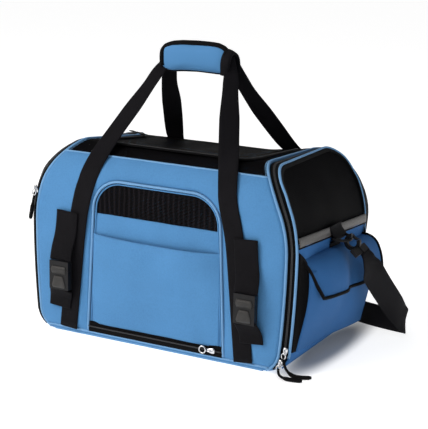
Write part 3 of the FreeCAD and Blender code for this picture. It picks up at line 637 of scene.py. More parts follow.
def section_half(z, inset):
    """Half the bag's width from front to back at height z."""
    if z < WALL_TOP:
        return HALF_DEPTH - inset
    radius = CORNER - inset
    return HALF_DEPTH - CORNER + math.sqrt(max(radius * radius - (z - WALL_TOP) ** 2, 0.0))


def end_reach(z, shift=0.0):
    """How far the bag's end is from its middle at height z, moved out by shift."""
    if z > SIDE_Z:
        return SIDE_X - SHOULDER + shift + math.sqrt(SHOULDER ** 2 - (z - SIDE_Z) ** 2)
    flank = SIDE_X - FLANK + shift + math.sqrt(FLANK ** 2 - (max(z, FOOT) - SIDE_Z) ** 2)
    return flank - FOOT + math.sqrt(max(FOOT ** 2 - max(FOOT - z, 0.0) ** 2, 0.0))


LEFT_TUCK, LEFT_TUCK_HIGH = 0.0080, 0.0010
BACK_SWELL, SWELL_HEIGHT = 0.0250, 0.190
EDGE_INSET = 0.0052
DOOR_SHIFT = 0.0163
RIM_STEPS = 150


def left_tuck(y, z):
    """How far the left door's edges are drawn in, most low down, where nothing holds them out."""
    depth = LEFT_TUCK + (LEFT_TUCK_HIGH - LEFT_TUCK) * smooth(0.19, 0.26, z)
    return depth * smooth(0.080, 0.126, max(abs(y), (z - 0.12) * 0.8))


def door_inset(side, z, end):
    """How far inside the shell's outline the door's edge is sewn, at its front (side -1) or back (side 1)."""
    if end < 0:
        return EDGE_INSET + 0.0050 * smooth(0.19, 0.25, z)
    if side < 0:
        return EDGE_INSET + 0.0042 * smooth(0.19, 0.25, z) * (1 - smooth(0.262, 0.282, z))
    return EDGE_INSET + 0.0075 * smooth(0.05, 0.13, z) * (1 - smooth(0.255, 0.282, z))


def back_swell(x, y, z):
    """How far the back wall bulges out beside the right end's zip."""
    shift = x - end_reach(min(z, HEIGHT))
    across = smooth(0.09, 0.20, x) * (1 - 0.9 * smooth(0.009, 0.016, shift))
    return BACK_SWELL * across * smooth(0.06, 0.125, y) * (1 - smooth(0.0, 0.105, abs(z - SWELL_HEIGHT)))


def shell_point(s, shift, inset, end):
    """A point on an end's rim: s along the outline, shift out from the shell and inset from its skin."""
    y, z = section_point(s, inset)
    share = smooth(0.006, 0.015, shift)
    y, z = section_point(s, inset + (door_inset(math.copysign(1, y), z, end) - EDGE_INSET) * share)
    x = end * end_reach(z, shift)
    if end < 0:
        share = smooth(0.007, 0.0155, shift)
        x += left_tuck(y, z) * share
        y -= math.copysign(0.0055 * share * (1 - smooth(0.2, 0.26, z)), y)
    return Vector((x, y, z))


def arch_half(z):
    """Half the width of the front's arch at height z."""
    start = ARCH_TOP - ARCH_CORNER
    side = ARCH_FOOT_HALF - (min(z, start) - ARCH_LOW) * ARCH_TAPER
    return side - ARCH_CORNER + math.sqrt(max(ARCH_CORNER ** 2 - max(z - start, 0.0) ** 2, 0.0))


def arch_line(y, inset=0.0):
    """The arch from its left foot over its top to its right foot."""
    start = ARCH_TOP - ARCH_CORNER
    side = arch_half(start)
    radius = ARCH_CORNER - inset
    half = [(arch_half(z) - inset, z) for z in spread(ARCH_LOW, start, 22)]
    for a in spread(0, math.pi / 2, 12)[1:]:
        half.append((side - ARCH_CORNER + radius * math.cos(a), start + radius * math.sin(a)))
    half += [(x, ARCH_TOP - inset) for x in spread(half[-1][0], 0, 8)[1:]]
    return [Vector((-x, y, z)) for x, z in half] + [Vector((x, y, z)) for x, z in half[-2::-1]]


SLUMP_DEPTH = 0.0155
SLUMP_START, SLUMP_END = -0.085, 0.070
SLUMP_FOOT, SLUMP_HEIGHT = 0.19, 0.11
SLUMP_ALONG = ((-0.235, 0.62), (-0.190, 0.75), (-0.150, 1.25), (-0.050, 1.18), (0.0, 1.22), (0.070, 1.15),
               (0.110, 0.90), (0.155, 0.45), (0.178, 0.0))


def slump(obj):
    """Lets the slack roof fall towards the back, most at its middle, and the back wall bulge at the right."""
    for vertex in obj.data.vertices:
        x, y, z = vertex.co
        vertex.co.y += back_swell(x, y, z)
        if z > SLUMP_FOOT and y > SLUMP_START:
            fall = min((y - SLUMP_START) / (SLUMP_END - SLUMP_START), 1.0)
            weight = ((z - SLUMP_FOOT) / SLUMP_HEIGHT) ** 3
            vertex.co.z -= SLUMP_DEPTH * keyed(SLUMP_ALONG, x) * fall * weight
    obj.data.update()
    return obj


# ---------------------------------------------------------------- shell panels

PUFF = 0.0030


def wall_outline(side_gap, count=60):
    """The front or back wall's edge as (x, s), closed, from its right foot up and round."""
    right = [(end_reach(section_point(s)[1]) - side_gap, s) for s in spread(HEM, SEAM, count)]
    top = [(x, SEAM) for x in spread(right[-1][0], -right[-1][0], count)[1:-1]]
    left = [(-x, s) for x, s in reversed(right)]
    bottom = [(x, HEM) for x in spread(left[-1][0], right[0][0], count)[1:-1]]
    return right + top + left + bottom


def outline_reach(outline, centre, angles):
    """Distance from the centre to a closed outline at each angle, for an outline seen whole from there."""
    points = np.array(outline) - np.array(centre)
    bearing = np.arctan2(points[:, 1], points[:, 0])
    order = np.argsort(bearing)
    return np.interp(angles, bearing[order], np.hypot(points[:, 0], points[:, 1])[order], period=math.tau)


def wall_surface(x, s, inset, side):
    """A point on the front (-1) or back (+1) wall."""
    y, z = section_point(s, inset)
    return Vector((x, -side * y, z))


def make_front_panel():
    """The front's frame of cloth around the arch, puffed between its seams."""
    centre = (0.0, 0.13)
    outer = wall_outline(0.001)
    arch = [(p.x, p.z) for p in arch_line(0.0, -0.001)]
    foot = [(x, ARCH_LOW + 0.0005) for x in spread(arch[-1][0], arch[0][0], 60)[1:-1]]
    inner = arch + foot
    walls = [outer[0], outer[60]]
    corners = [*walls, *((-x, s) for x, s in walls), arch[0], foot[0]]
    bearings = [math.atan2(s - centre[1], x - centre[0]) for x, s in corners]
    angles = np.array(sorted(set(spread(-math.pi, math.pi, 420)[:-1] + bearings)))
    sights = list(zip(angles, outline_reach(inner, centre, angles), outline_reach(outer, centre, angles)))

    def cloth(share, sight):
        angle, low, high = sight
        reach = low + (high - low) * share
        x = centre[0] + reach * math.cos(angle)
        s = centre[1] + reach * math.sin(angle)
        puffed = math.sin(math.pi * share) ** 0.6
        width = min((high - low) / 0.05, 1.0)
        lift = PUFF * puffed * width + wrinkle((x, 0, s), 0.055, 0.0022 * puffed)
        return wall_surface(x, s, SEAM_RECESS - lift, -1)

    rows = table(cloth, spread(0, 1, 16), sights)
    panel = thicken(weld(add_grid("front_panel_cloth", [row + row[:1] for row in rows])), 0.0022)
    finish_piece(coat(panel, "blue_wall"), "bag", "blue_fabric", "front_panel")


def make_back_panel():
    def cloth(s, share):
        reach = end_reach(section_point(s)[1]) - 0.001
        x = reach * share
        puffed = swell((s - HEM) / 0.03, (SEAM - s) / 0.03, (reach - abs(x)) / 0.03) ** 0.7
        lift = PUFF * puffed + wrinkle((x, 0.3, s), 0.07, 0.0025 * puffed)
        return wall_surface(x, s, SEAM_RECESS - lift, 1)

    rows = table(cloth, spread(HEM, SEAM, 60), spread(-1, 1, 80))
    panel = coat(slump(add_sheet("back_panel_cloth", rows, 0.0022, 1.0)), "blue_wall")
    finish_piece(panel, "bag", "blue_fabric", "back_panel")


def make_window():
    """The mesh in the arch's top and the plain cloth below it, each puffed away from its edges."""
    for name, low, high, sunk, puff, seed, thick, key, slot, node in (
        ("front_window", WINDOW_LOW, ARCH_TOP - 0.0005, 0.0008, 0.0016, 3.0, 0.0005, "front_mesh",
         "black_mesh", "front_window_mesh"),
        ("front_lower_cloth", ARCH_LOW, WINDOW_LOW + 0.002, 0.0006, 0.0014, 5.0, 0.0016, "blue_wall",
         "blue_fabric", "front_lower_panel"),
    ):
        def cloth(z, share):
            half = arch_half(z) - 0.0008
            x = half * share
            puffed = swell((half - abs(x)) / 0.022, (z - low) / 0.022, (high - z) / 0.022)
            lift = puffed * puff + wrinkle((x, 0, z), 0.05, 0.0016 * puffed, seed)
            return Vector((x, sunk - HALF_DEPTH - lift, z))

        sheet = add_sheet(name, table(cloth, spread(low, high, 44), spread(-1, 1, 64)), thick)
        finish_piece(coat(sheet, key), "bag", slot, node)


def make_sleeve():
    """The slip pocket: sewn at its sides, a little open at its mouth, with a turned hem."""
    low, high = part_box("sleeve_panel")
    half = high.x + 0.006

    def cloth(z, share):
        x = half * share
        rise = max((z - low.z) / (high.z - low.z), 0.0)
        edge = min((half - abs(x)) / 0.035, 1.0)
        slack = swell(edge) * (0.0018 + 0.0042 * rise ** 1.5)
        hem = 0.0009 if rise > 0.93 else 0.0
        dip = 0.0035 * (1 - share * share) * rise ** 3
        lift = 0.0012 + slack + hem * edge + wrinkle((x, 0, z), 0.045, 0.0022 * edge, 9.0)
        return Vector((x, -HALF_DEPTH - lift, z - dip))

    rows = table(cloth, spread(low.z - 0.001, high.z, 40), spread(-1, 1, 64))
    sleeve = coat(add_sheet("sleeve_cloth", rows, 0.0013), "blue_wall")
    finish_piece(sleeve, "bag", "blue_fabric", "sleeve_panel")


# ---------------------------------------------------------------- pipings and zips


def add_rim(name, end, low, cord, band):
    """A cord and a band of cloth round one end, from foot to foot over the roof.

    cord is its (shift, inset), radius, sides and material. band is its columns of (shift, inset), and its
    material.
    """
    seat, radius, sides, cord_key = cord
    columns, band_key = band
    steps = spread(low, 2 * HALF_GIRTH - low, RIM_STEPS)
    line = add_tube(f"{name}_cord", [shell_point(s, *seat, end) for s in steps], radius, sides)
    rows = table(lambda s, column: shell_point(s, *column, end), steps, columns)
    strip = add_sheet(f"{name}_band", rows, 0.0009, 0.0)
    return slump(join(name, [coat(line, cord_key), coat(strip, band_key)]))


def make_arch_piping():
    outer = coat(add_tube("arch_piping_cord", arch_line(-HALF_DEPTH - 0.0018), 0.0020), "piping")
    inner = coat(add_tube("arch_piping_fold", arch_line(-HALF_DEPTH - 0.0004, 0.0042), 0.0013, 8), "blue")
    finish_piece(join("arch_piping_cloth", [outer, inner]), "bag", "blue_piping", "arch_piping")


def make_shell_pipings():
    """The piping round each end of the shell, and the long ones along its top and bottom edges."""
    for name, end in ENDS.items():
        piping = add_rim(f"{name}_shell_piping_cloth", end, 0.004, ((0.0, 0.0006), 0.0022, 10, "piping"),
                         (((-0.0055, 0.0012), (-0.002, 0.0016), (0.0, 0.0026)), "piping"))
        finish_piece(piping, "bag", "blue_piping", f"{name}_shell_piping")

    def pair(name, y, z, gap, radius):
        reach = end_reach(z) - gap
        lines = {side: [Vector((x, side * y, z)) for x in spread(-reach, reach, 60)] for side in (-1, 1)}
        return [coat(add_tube(f"{name}_{side}", line, radius), "piping") for side, line in lines.items()]

    y, z = section_point(SEAM)
    tops = slump(join("top_pipings_cloth", pair("top_piping", abs(y), z, 0.001, 0.0020)))
    finish_piece(tops, "bag", "blue_piping", "top_pipings")
    bottoms = (pair("hem_piping", HALF_DEPTH + 0.0006, 0.0082, 0.002, 0.0019)
               + pair("foot_piping", HALF_DEPTH - 0.0026, 0.0021, 0.002, 0.0020))
    finish_piece(join("bottom_pipings_cloth", bottoms), "bag", "blue_piping", "bottom_pipings")


def make_zip_tapes():
    """The black bands of each end's zip, one half on the shell and one on the door, with their coils."""
    for name, end in ENDS.items():
        for part, low, columns, coil, body, node in (
            ("shell", 0.006, ((0.0010, 0.0030), (0.0030, 0.0034), (0.0060, 0.0032), (0.0077, 0.0030)),
             0.0071, "bag", f"{name}_zip_tape"),
            ("door", 0.027, ((0.0081, 0.0030), (0.0100, 0.0032), (0.0120, 0.0040), (0.0142, 0.0046)),
             0.0088, f"{name}_door", f"{name}_door_zip_tape"),
        ):
            cord = ((coil, 0.0022), 0.0009, 8, "coil")
            half = add_rim(f"{name}_{part}_zip_cloth", end, low, cord, (columns, "tape"))
            finish_piece(half, body, "zip_tape", node)


def add_zip(name, rows, thickness, offset, line, radius):
    tape = coat(add_sheet(f"{name}_tape", rows, thickness, offset), "tape")
    return join(f"{name}_cloth", [tape, coat(add_tube(f"{name}_coil", line, radius, 8), "coil")])


def make_sleeve_zip():
    low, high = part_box("sleeve_zip_tape")
    half = ARCH_FOOT_HALF - 0.002
    face = -HALF_DEPTH - 0.0016
    profile = ((0.0075, 0.0), (0.0095, 0.0008), (0.0165, 0.0010), (0.0192, 0.0010), (0.0250, 0.0006),
               (0.0262, 0.0))
    rows = [[Vector((x, face - lift, z)) for x in spread(-half, half, 60)] for z, lift in profile]
    line = [Vector((x, face - 0.0016, (low.z + high.z) / 2)) for x in spread(-half, half, 90)]
    closing = add_zip("sleeve_zip", rows, 0.0009, -1.0, line, 0.0012)
    finish_piece(closing, "bag", "zip_tape", "sleeve_zip_tape")


# ---------------------------------------------------------------- base, mat and roof


def make_base():
    """The sole: a tray of cloth with a rounded edge."""
    low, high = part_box("base_panel")
    rows = []
    for inset, z in ((0.012, 0.0016), (0.005, 0.0018), (0.0022, 0.0030), (0.0014, 0.0058), (0.0018, 0.0105)):
        half = (end_reach(max(z, 0.004), 0.011) - inset, HALF_DEPTH - inset)
        ring = rounded_ring((0, 0), half, 0.014, 0.014, z, 6)
        rows.append(ring + ring[:1])
    wall = thicken(weld(add_grid("base_rim", rows)), 0.0012, 1.0)
    plate = table(lambda y, x: Vector((x, y, 0.0011)), spread(-HALF_DEPTH + 0.012, HALF_DEPTH - 0.012, 16),
                  spread(low.x + 0.012, high.x - 0.012, 24))
    base = coat(join("base_cloth", [wall, add_sheet("base_sole", plate, 0.0014, 0.0)]), "blue")
    finish_piece(base, "bag", "blue_fabric", "base_panel")


PUFF_FRAMES = 20
PUFF_PRESSURE = 4.0


def inflate(obj, voxel, cap):
    """Pads a closed form out as cloth does: remeshed, blown up a little, each point's move capped."""
    scene = bpy.context.scene
    remesh = obj.modifiers.new("remesh", "REMESH")
    remesh.mode = "VOXEL"
    remesh.voxel_size = voxel
    settle(obj)
    rest = np.zeros(len(obj.data.vertices) * 3, np.float32)
    obj.data.vertices.foreach_get("co", rest)
    cloth = obj.modifiers.new("cloth", "CLOTH")
    cloth.settings.effector_weights.gravity = 0.0
    cloth.settings.use_pressure = True
    cloth.settings.uniform_pressure_force = PUFF_PRESSURE
    for number in range(1, PUFF_FRAMES + 1):
        scene.frame_set(number)
    settle(obj)
    scene.frame_set(1)
    moved = np.zeros_like(rest)
    obj.data.vertices.foreach_get("co", moved)
    step = (moved - rest).reshape(-1, 3)
    size = np.linalg.norm(step, axis=1, keepdims=True)
    step *= np.minimum(1.0, cap / np.maximum(size, 1e-9))
    obj.data.vertices.foreach_set("co", (rest.reshape(-1, 3) + step).ravel())
    rounding = obj.modifiers.new("rounding", "SUBSURF")
    rounding.levels = 1
    settle(obj)
    obj.data.polygons.foreach_set("use_smooth", [True] * len(obj.data.polygons))
    return obj


def add_pad(name, node, corner):
    """A rounded slab in the place of a CAD one, with crowned faces and a soft edge."""
    low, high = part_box(node)
    half = (high - low) / 2
    middle = (high + low) / 2
    rings = []
    for level in spread(-1, 1, 8):
        pull = (1 - math.sqrt(1 - (abs(level) * 0.98) ** 2)) * half.z
        rings.append(rounded_ring(middle, half, corner, corner - pull, middle.z + level * half.z, 7))
    return add_loft(name, rings)


def make_mat():
    """The stiff board on the bag's floor and the fleece mat that lies on it."""
    board = coat(add_pad("base_board_cover", "base_board", 0.018), "board")
    finish_piece(board, "bag", "board", "base_board")
    mat = add_pad("pet_mat_fleece", "pet_mat", 0.02)
    inflate(mat, 0.0060, 0.0040)
    finish_piece(coat(mat, "fleece"), "bag", "fleece", "pet_mat")


def make_roof():
    """The roof's mesh between the two top pipings, sagging a little."""
    def mesh(s, share):
        y, z = section_point(s, 0.0008)
        x = (end_reach(z) - 0.001) * share
        sag = 0.0028 * (1 - share * share) * max(0.0, 1 - (y / 0.1) ** 2)
        return Vector((x, y, z - sag + wrinkle((x, y, 0), 0.06, 0.0016 * (1 - share ** 4))))

    rows = table(mesh, spread(SEAM, 2 * HALF_GIRTH - SEAM, 56), spread(-1, 1, 60))
    roof = coat(slump(add_sheet("roof_mesh", rows, 0.0005)), "roof_mesh")
    finish_piece(roof, "bag", "black_mesh", "top_mesh")


ROOF_ZIP_WIDTH = 0.012
ROOF_ZIP_STEP = 0.006


def make_roof_zip():
    """The zip round three sides of the roof's opening, its two front corners cut off."""
    low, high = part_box("top_zip_tape")
    edge = ROOF_ZIP_WIDTH / 2
    left, right, front, back = low.x + edge, high.x - edge, low.y + edge, high.y
    route = [(left, back), (left, front + 0.02), (left + 0.006, front + 0.006), (left + 0.02, front),
             (right - 0.02, front), (right - 0.006, front + 0.006), (right, front + 0.02), (right, back)]
    line = []
    for (x0, y0), (x1, y1) in zip(route, route[1:]):
        count = max(2, int(math.hypot(x1 - x0, y1 - y0) / ROOF_ZIP_STEP))
        line += list(zip(spread(x0, x1, count), spread(y0, y1, count)))[:-1]
    line.append(route[-1])
    up = Vector((0, 0, 1))
    flat = HALF_DEPTH - CORNER
    points = [Vector((x, y, WALL_TOP + math.sqrt(CORNER ** 2 - max(abs(y) - flat, 0.0) ** 2) + 0.0006))
              for x, y in line]
    rows = [[point + way.cross(up).normalized() * offset + up * lift
             for offset, lift in ((-edge, -0.0004), (-0.002, 0.0004), (0.002, 0.0004), (edge, -0.0004))]
            for point, way in zip(points, tangents(points))]
    closing = add_zip("roof_zip", rows, 0.0008, 0.0, [point + up * 0.0012 for point in points], 0.0011)
    finish_piece(slump(closing), "bag", "zip_tape", "top_zip_tape")


# ---------------------------------------------------------------- doors

STRIP_SLOPE, STRIP_HALF = 0.062, 0.0066


def door_surface(y, z, end, lift=0.0):
    tuck = left_tuck(y, z) if end < 0 else 0.0
    return Vector((end * (end_reach(z, DOOR_SHIFT) + lift - tuck), y, z))


def door_across(z, share, end, inset=0.0):
    """The y of a point on the door, share running from -1 at its front edge to 1 at its back edge."""
    front = section_half(z, door_inset(-1, z, end) + inset)
    back = section_half(z, door_inset(1, z, end) + inset)
    return (back - front) / 2 + share * (front + back) / 2


def make_door(name, end):
    """Cloth below and mesh above, sewn together behind a sloping grey strip and edged with piping."""
    body = f"{name}_door"
    panel_low, panel_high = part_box(f"{name}_door_panel")
    strip_low, strip_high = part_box(f"{name}_reflective_strip")
    top = HEIGHT - (0.0062 if end > 0 else 0.0110)

    def strip_middle(y):
        return (strip_low.z + strip_high.z) / 2 + 0.0035 - STRIP_SLOPE * y

    def seam(share):
        return strip_middle(door_across(panel_high.z, share, end)) - 0.003

    def cloth(level, share):
        z = panel_low.z + (seam(share) - panel_low.z) * level
        y = door_across(z, share, end)
        puffed = swell((1 - abs(share)) * 4, level * 4)
        lift = -0.0030 + 0.0026 * puffed + wrinkle((0, y, z), 0.05, 0.0014 * puffed, end)
        return door_surface(y, z, end, lift)

    def mesh(level, share):
        z = seam(share) + (top - seam(share)) * math.sin(level * math.pi / 2)
        y = door_across(z, share, end, 0.001)
        return door_surface(y, z, end, -0.0030 + wrinkle((0, y, z), 0.06, 0.0012))

    across = spread(-1, 1, 56)
    skin = add_sheet(f"{name}_door_cloth", table(cloth, spread(0, 1, 44), across), 0.0020, end)
    # The door's cloth is coated in the darker blue of painted shade.
    finish_piece(coat(skin, "blue_end_painted_shade"), body, "blue_fabric", f"{name}_door_panel")
    window = slump(add_sheet(f"{name}_door_window", table(mesh, spread(0, 1, 40), across), 0.0005, 0.0))
    finish_piece(coat(window, "end_mesh"), body, "black_mesh", f"{name}_door_mesh")

    seat = (0.0150, 0.0036) if end > 0 else (0.0108, 0.0066)
    edging = add_rim(f"{name}_door_piping_cloth", end, 0.027, (seat, 0.0020, 10, "piping"),
                     (((0.0150, 0.0040), (0.0155, 0.0058), (0.0145, 0.0098)), "binding"))
    finish_piece(edging, body, "blue_piping", f"{name}_door_piping")

    across = [door_across(panel_high.z, share, end, 0.0005) for share in spread(-1, 1, 60)]
    profile = ((-1.0, 0.0012), (-0.85, 0.0026), (0.0, 0.0028), (0.85, 0.0026), (1.0, 0.0008))
    rows = [[door_surface(y, strip_middle(y) + STRIP_HALF * level, end, lift) for y in across]
            for level, lift in profile]
    strip = coat(add_sheet(f"{name}_reflective_cloth", rows, 0.0006, 0.0), "reflective")
    edge = [door_surface(y, strip_middle(y) - STRIP_HALF - 0.0012, end, 0.0014) for y in across]
    seam_line = coat(add_tube(f"{name}_reflective_seam", edge, 0.0013, 8), "binding")
    finish_piece(join(f"{name}_reflective_piece", [strip, seam_line]), body, "grey_reflective",
                 f"{name}_reflective_strip")


# ---------------------------------------------------------------- end pockets

DENT_MIDDLE, DENT_WIDTH, DENT_DEPTH = 0.014, 0.026, 0.011
POCKET_FRONT = (-0.1165, -0.1080)
POCKET_BACK = (0.1150, 0.1120)
POCKET_DROP = 0.075
FLAP_PROFILE = ((0.2285, 0.1660), (0.2400, 0.1680), (0.2540, 0.1620), (0.2620, 0.1470), (0.2655, 0.1280),
                (0.2640, 0.1060))


def flap_dent(y):
    """How far the strap presses the pocket and its flap in at their middle."""
    return math.exp(-((y - DENT_MIDDLE) / DENT_WIDTH) ** 2) * DENT_DEPTH


def make_cargo_pocket():
    """The bellows pocket on the right door: a full front and gusseted sides."""
    low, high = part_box("right_cargo_pocket")
    levels = spread(0, 1, 26)

    def face_point(level, share):
        front = POCKET_FRONT[0] + (POCKET_FRONT[1] - POCKET_FRONT[0]) * level
        back = POCKET_BACK[0] + (POCKET_BACK[1] - POCKET_BACK[0]) * level
        y = front + (back - front) * (share + 1) / 2
        foot_z = low.z + 0.004 - POCKET_DROP * y
        z = foot_z + (high.z - STRIP_SLOPE * y - foot_z) * level
        foot = end_reach(foot_z, DOOR_SHIFT) + 0.003 + 0.010 * smooth(-0.2, 1.0, share)
        bow = foot + (high.x - 0.004 - foot) * math.sin(level * math.pi / 2) ** 1.1
        droop = 0.020 * max(-share, 0) ** 2.4 * level + 0.010 * max(share, 0) ** 4 * level
        return Vector((bow - droop - flap_dent(y) * level ** 2, y, z))

    def cloth(level, share):
        point = face_point(level, share)
        return point + Vector((wrinkle((0, point.y, point.z), 0.05, 0.0035 * level, 4.0), 0, 0))

    rows = table(cloth, levels, spread(-1, 1, 50))
    # The pocket's face is coated in the still darker blue of painted shade.
    pieces = [coat(add_sheet("cargo_pocket_face", rows, 0.0016, 1.0), "blue_pocket_painted_shade")]
    for side in (-1, 1):
        def gusset(level, share):
            front = face_point(level, side)
            back_z = front.z + 0.030 * level ** 3
            back_y = door_across(front.z, side, 1.0, 0.0015)
            back = Vector((end_reach(back_z, DOOR_SHIFT) + 0.0005, back_y, back_z))
            return back.lerp(front, share) - Vector((0, side * 0.007 * math.sin(share * math.pi) * level, 0))

        rows = table(gusset, levels, spread(0, 1, 10))
        pieces.append(coat(add_sheet(f"cargo_gusset_{side}", rows, 0.0010, 0.0), "binding"))
        edge = [face_point(level, side) + Vector((0.0006, 0, 0)) for level in levels]
        pieces.append(coat(add_tube(f"cargo_edge_{side}", edge, 0.0013, 8), "blue_pocket_painted_shade"))
    finish_piece(join("cargo_pocket_cloth", pieces), "right_door", "blue_fabric", "right_cargo_pocket")


def make_cargo_flap():
    """The pocket's flap: sewn along its top, pressed in by the strap at its middle, bound in black."""
    curve = nurbs_line([(x, 0, z) for x, z in FLAP_PROFILE], 6)
    along = distances(curve)
    half_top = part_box("cargo_flap")[1].y

    def cloth(station, share):
        point, distance = station
        t = distance / along[-1]
        chord = curve[0].lerp(curve[-1], t)
        y = share * (half_top + (0.005 - 0.030 * t if share < 0 else 0.003))
        slack = (0.85 if share < 0 else 0.22) * abs(share) ** 3.2
        dent = flap_dent(y) * math.sin(min(t * 1.3, 1) * math.pi / 2)
        fold = wrinkle((0, y, distance), 0.04, 0.0030 * t, 7.0)
        x = point.x + (chord.x - point.x) * slack - 0.010 * max(-share, 0) ** 3 * t
        z = point.z + (chord.z - point.z) * slack - STRIP_SLOPE * y
        return Vector((x - dent + fold, y, z - dent * 0.25))

    rows = table(cloth, list(zip(curve, along)), spread(-1, 1, 60))
    # The flap is coated in the still darker blue of painted shade.
    panel = coat(add_sheet("cargo_flap_panel", rows, 0.0018, 1.0), "blue_pocket_painted_shade")
    border = [row[0] for row in rows] + rows[-1][1:-1] + [row[-1] for row in reversed(rows)]
    binding = coat(add_tube("cargo_flap_binding", border, 0.0027, 10), "binding")
    top = [point + Vector((0.0004, 0, 0.0010)) for point in rows[0]]
    seam = coat(add_tube("cargo_flap_seam", top, 0.0009, 8), "binding")
    flap = join("cargo_flap_cloth", [panel, binding, seam])
    finish_piece(flap, "right_door", "blue_fabric", "cargo_flap")


def make_net_pocket():
    """The net on the left door, gathered by a bound elastic mouth."""
    low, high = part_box("left_net_pocket")

    def net(level, share):
        z = low.z + (high.z - low.z) * level
        out = 0.0120 * (1 - abs(share) ** 20) * math.sin(math.pi * (0.12 + 0.80 * level)) ** 0.6
        ripples = 0.0010 * math.sin(share * 40) * level ** 3
        return Vector((-end_reach(z, DOOR_SHIFT) - 0.0008 - out - ripples, (high.y + 0.008) * share, z))

    rows = table(net, spread(0, 1, 24), spread(-1, 1, 40))
    pocket = coat(add_sheet("net_pocket_mesh", rows, 0.0007, 0.0), "end_mesh")
    mouth = coat(add_tube("net_pocket_mouth", rows[-1], 0.0028, 10), "binding")
    border = [row[0] for row in reversed(rows)] + rows[0][1:-1] + [row[-1] for row in rows]
    edging = coat(add_tube("net_pocket_edging", border, 0.0018, 8), "binding")
    whole = join("net_pocket_cloth", [pocket, mouth, edging])
    finish_piece(whole, "left_door", "black_mesh", "left_net_pocket")


def make_ring_tab(name, end):
    """The sewn tab of webbing that holds an end's D-ring."""
    low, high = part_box(f"{name}_ring_tab")
    ring_low, ring_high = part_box(f"{name}_d_ring")
    bar_x = end * (abs((ring_low if end > 0 else ring_high).x) + 0.0022)
    bar_z = (ring_low.z + ring_high.z) / 2 + 0.0009
    wall_x = end * (end_reach(bar_z, DOOR_SHIFT) + 0.0012)
    near, far = bar_x + end * 0.001, bar_x + end * 0.005
    turns = ((wall_x, 0.019), (wall_x, 0.012), (near, 0.0052), (far, 0.0010), (near, -0.0048),
             (wall_x, -0.0062), (wall_x, -0.018))
    route = [(x, 0, bar_z + rise) for x, rise in turns]
    tab = add_ribbon(f"{name}_ring_tab_webbing", route, (0, 1, 0), high.y - low.y + 0.006, WEBBING)
    finish_piece(coat(tab, "webbing"), f"{name}_door", "black_webbing", f"{name}_ring_tab")


# ---------------------------------------------------------------- handles

HANDLE_WIDTH = 0.0305
WEBBING = 0.0018
FRONT_WALL_POINTS = ((0.152, 0.010), (0.147, 0.060), (0.1425, 0.105), (0.137, 0.160), (0.132, 0.200),
                     (0.120, 0.245))
BACK_WALL_POINTS = ((0.152, 0.010), (0.144, 0.060), (0.1365, 0.105), (0.130, 0.160), (0.1235, 0.200),
                    (0.119, 0.245))
HANDLE_LEGS = (
    # side, end, the way its width leans in the air, and the free points from the wall's top to the grip
    (-1, -1.0, (0.94, -0.20, -0.13), (
        (-0.1085, -0.127, 0.280), (-0.1000, -0.094, 0.313), (-0.0880, -0.056, 0.351),
        (-0.0765, -0.022, 0.386), (-0.0680, -0.010, 0.407), (-0.0580, 0.002, 0.421))),
    (-1, 1.0, (0.77, 0.39, -0.03), (
        (0.1165, -0.132, 0.272), (0.1060, -0.110, 0.292), (0.0800, -0.060, 0.3325),
        (0.0620, -0.025, 0.378), (0.0560, -0.011, 0.410), (0.0500, -0.006, 0.434))),
    (1, -1.0, (0.87, 0.48, 0.07), (
        (-0.1090, 0.124, 0.268), (-0.1015, 0.100, 0.276), (-0.0930, 0.080, 0.306), (-0.0800, 0.050, 0.345),
        (-0.0680, 0.018, 0.385), (-0.0600, 0.008, 0.415), (-0.0480, 0.005, 0.430))),
    (1, 1.0, (0.93, 0.02, 0.36), (
        (0.1160, 0.127, 0.269), (0.1080, 0.100, 0.281), (0.0880, 0.062, 0.329),
        (0.0690, 0.026, 0.375), (0.0580, 0.010, 0.404), (0.0500, 0.005, 0.428))),
)
KNUCKLE = ((0.0450, -0.0125, 0.4060), (0.0465, -0.0145, 0.4200), (0.0475, -0.0120, 0.4340),
           (0.0490, -0.0020, 0.4425), (0.0520, 0.0060, 0.4350), (0.0545, 0.0080, 0.4200),
           (0.0550, 0.0070, 0.4070))


def add_handle_leg(side, end, leaning, free_points):
    """One leg of a handle, from the bag's foot up its wall and over to the grip."""
    wall = side * (HALF_DEPTH + 0.0048)
    route = []
    for x, z in FRONT_WALL_POINTS if side < 0 else BACK_WALL_POINTS:
        bulge = 1.25 * back_swell(end * x, wall, z) if side > 0 else 0
        route.append((end * x, wall + bulge, z))
    free = Vector(leaning)
    across = [(0.0, (1, 0, 0)), (0.56, (1, 0, 0.10 * end)), (0.74, free), (0.90, free),
              (1.0, (free + Vector((-0.5, 0, 0.5 * end))).normalized())]
    width = [(share, HANDLE_WIDTH * part) for share, part in ((0.0, 1), (0.78, 1), (0.91, 0.78), (1.0, 0.5))]
    return add_ribbon(f"handle_leg_{side}_{end}", [*route, *free_points], across, width, WEBBING)


def make_handles():
    """Both handles; the front one has a bunched turn of webbing beside the grip's right end."""
    for name, side in (("front", -1), ("back", 1)):
        legs = [add_handle_leg(*leg) for leg in HANDLE_LEGS if leg[0] == side]
        if side < 0:
            across = [(0.0, (1, 0.1, 0.0)), (0.5, (1, -0.2, -0.35)), (1.0, (1, 0.3, 0))]
            width = [(0.0, 0.012), (0.25, 0.016), (0.55, 0.0155), (1.0, 0.013)]
            legs.append(add_ribbon("handle_knuckle", KNUCKLE, across, width, 0.0042, 0.0012))
        handle = coat(join(f"{name}_handle_cloth", legs), "webbing")
        finish_piece(handle, "bag", "black_webbing", f"{name}_handle_webbing")


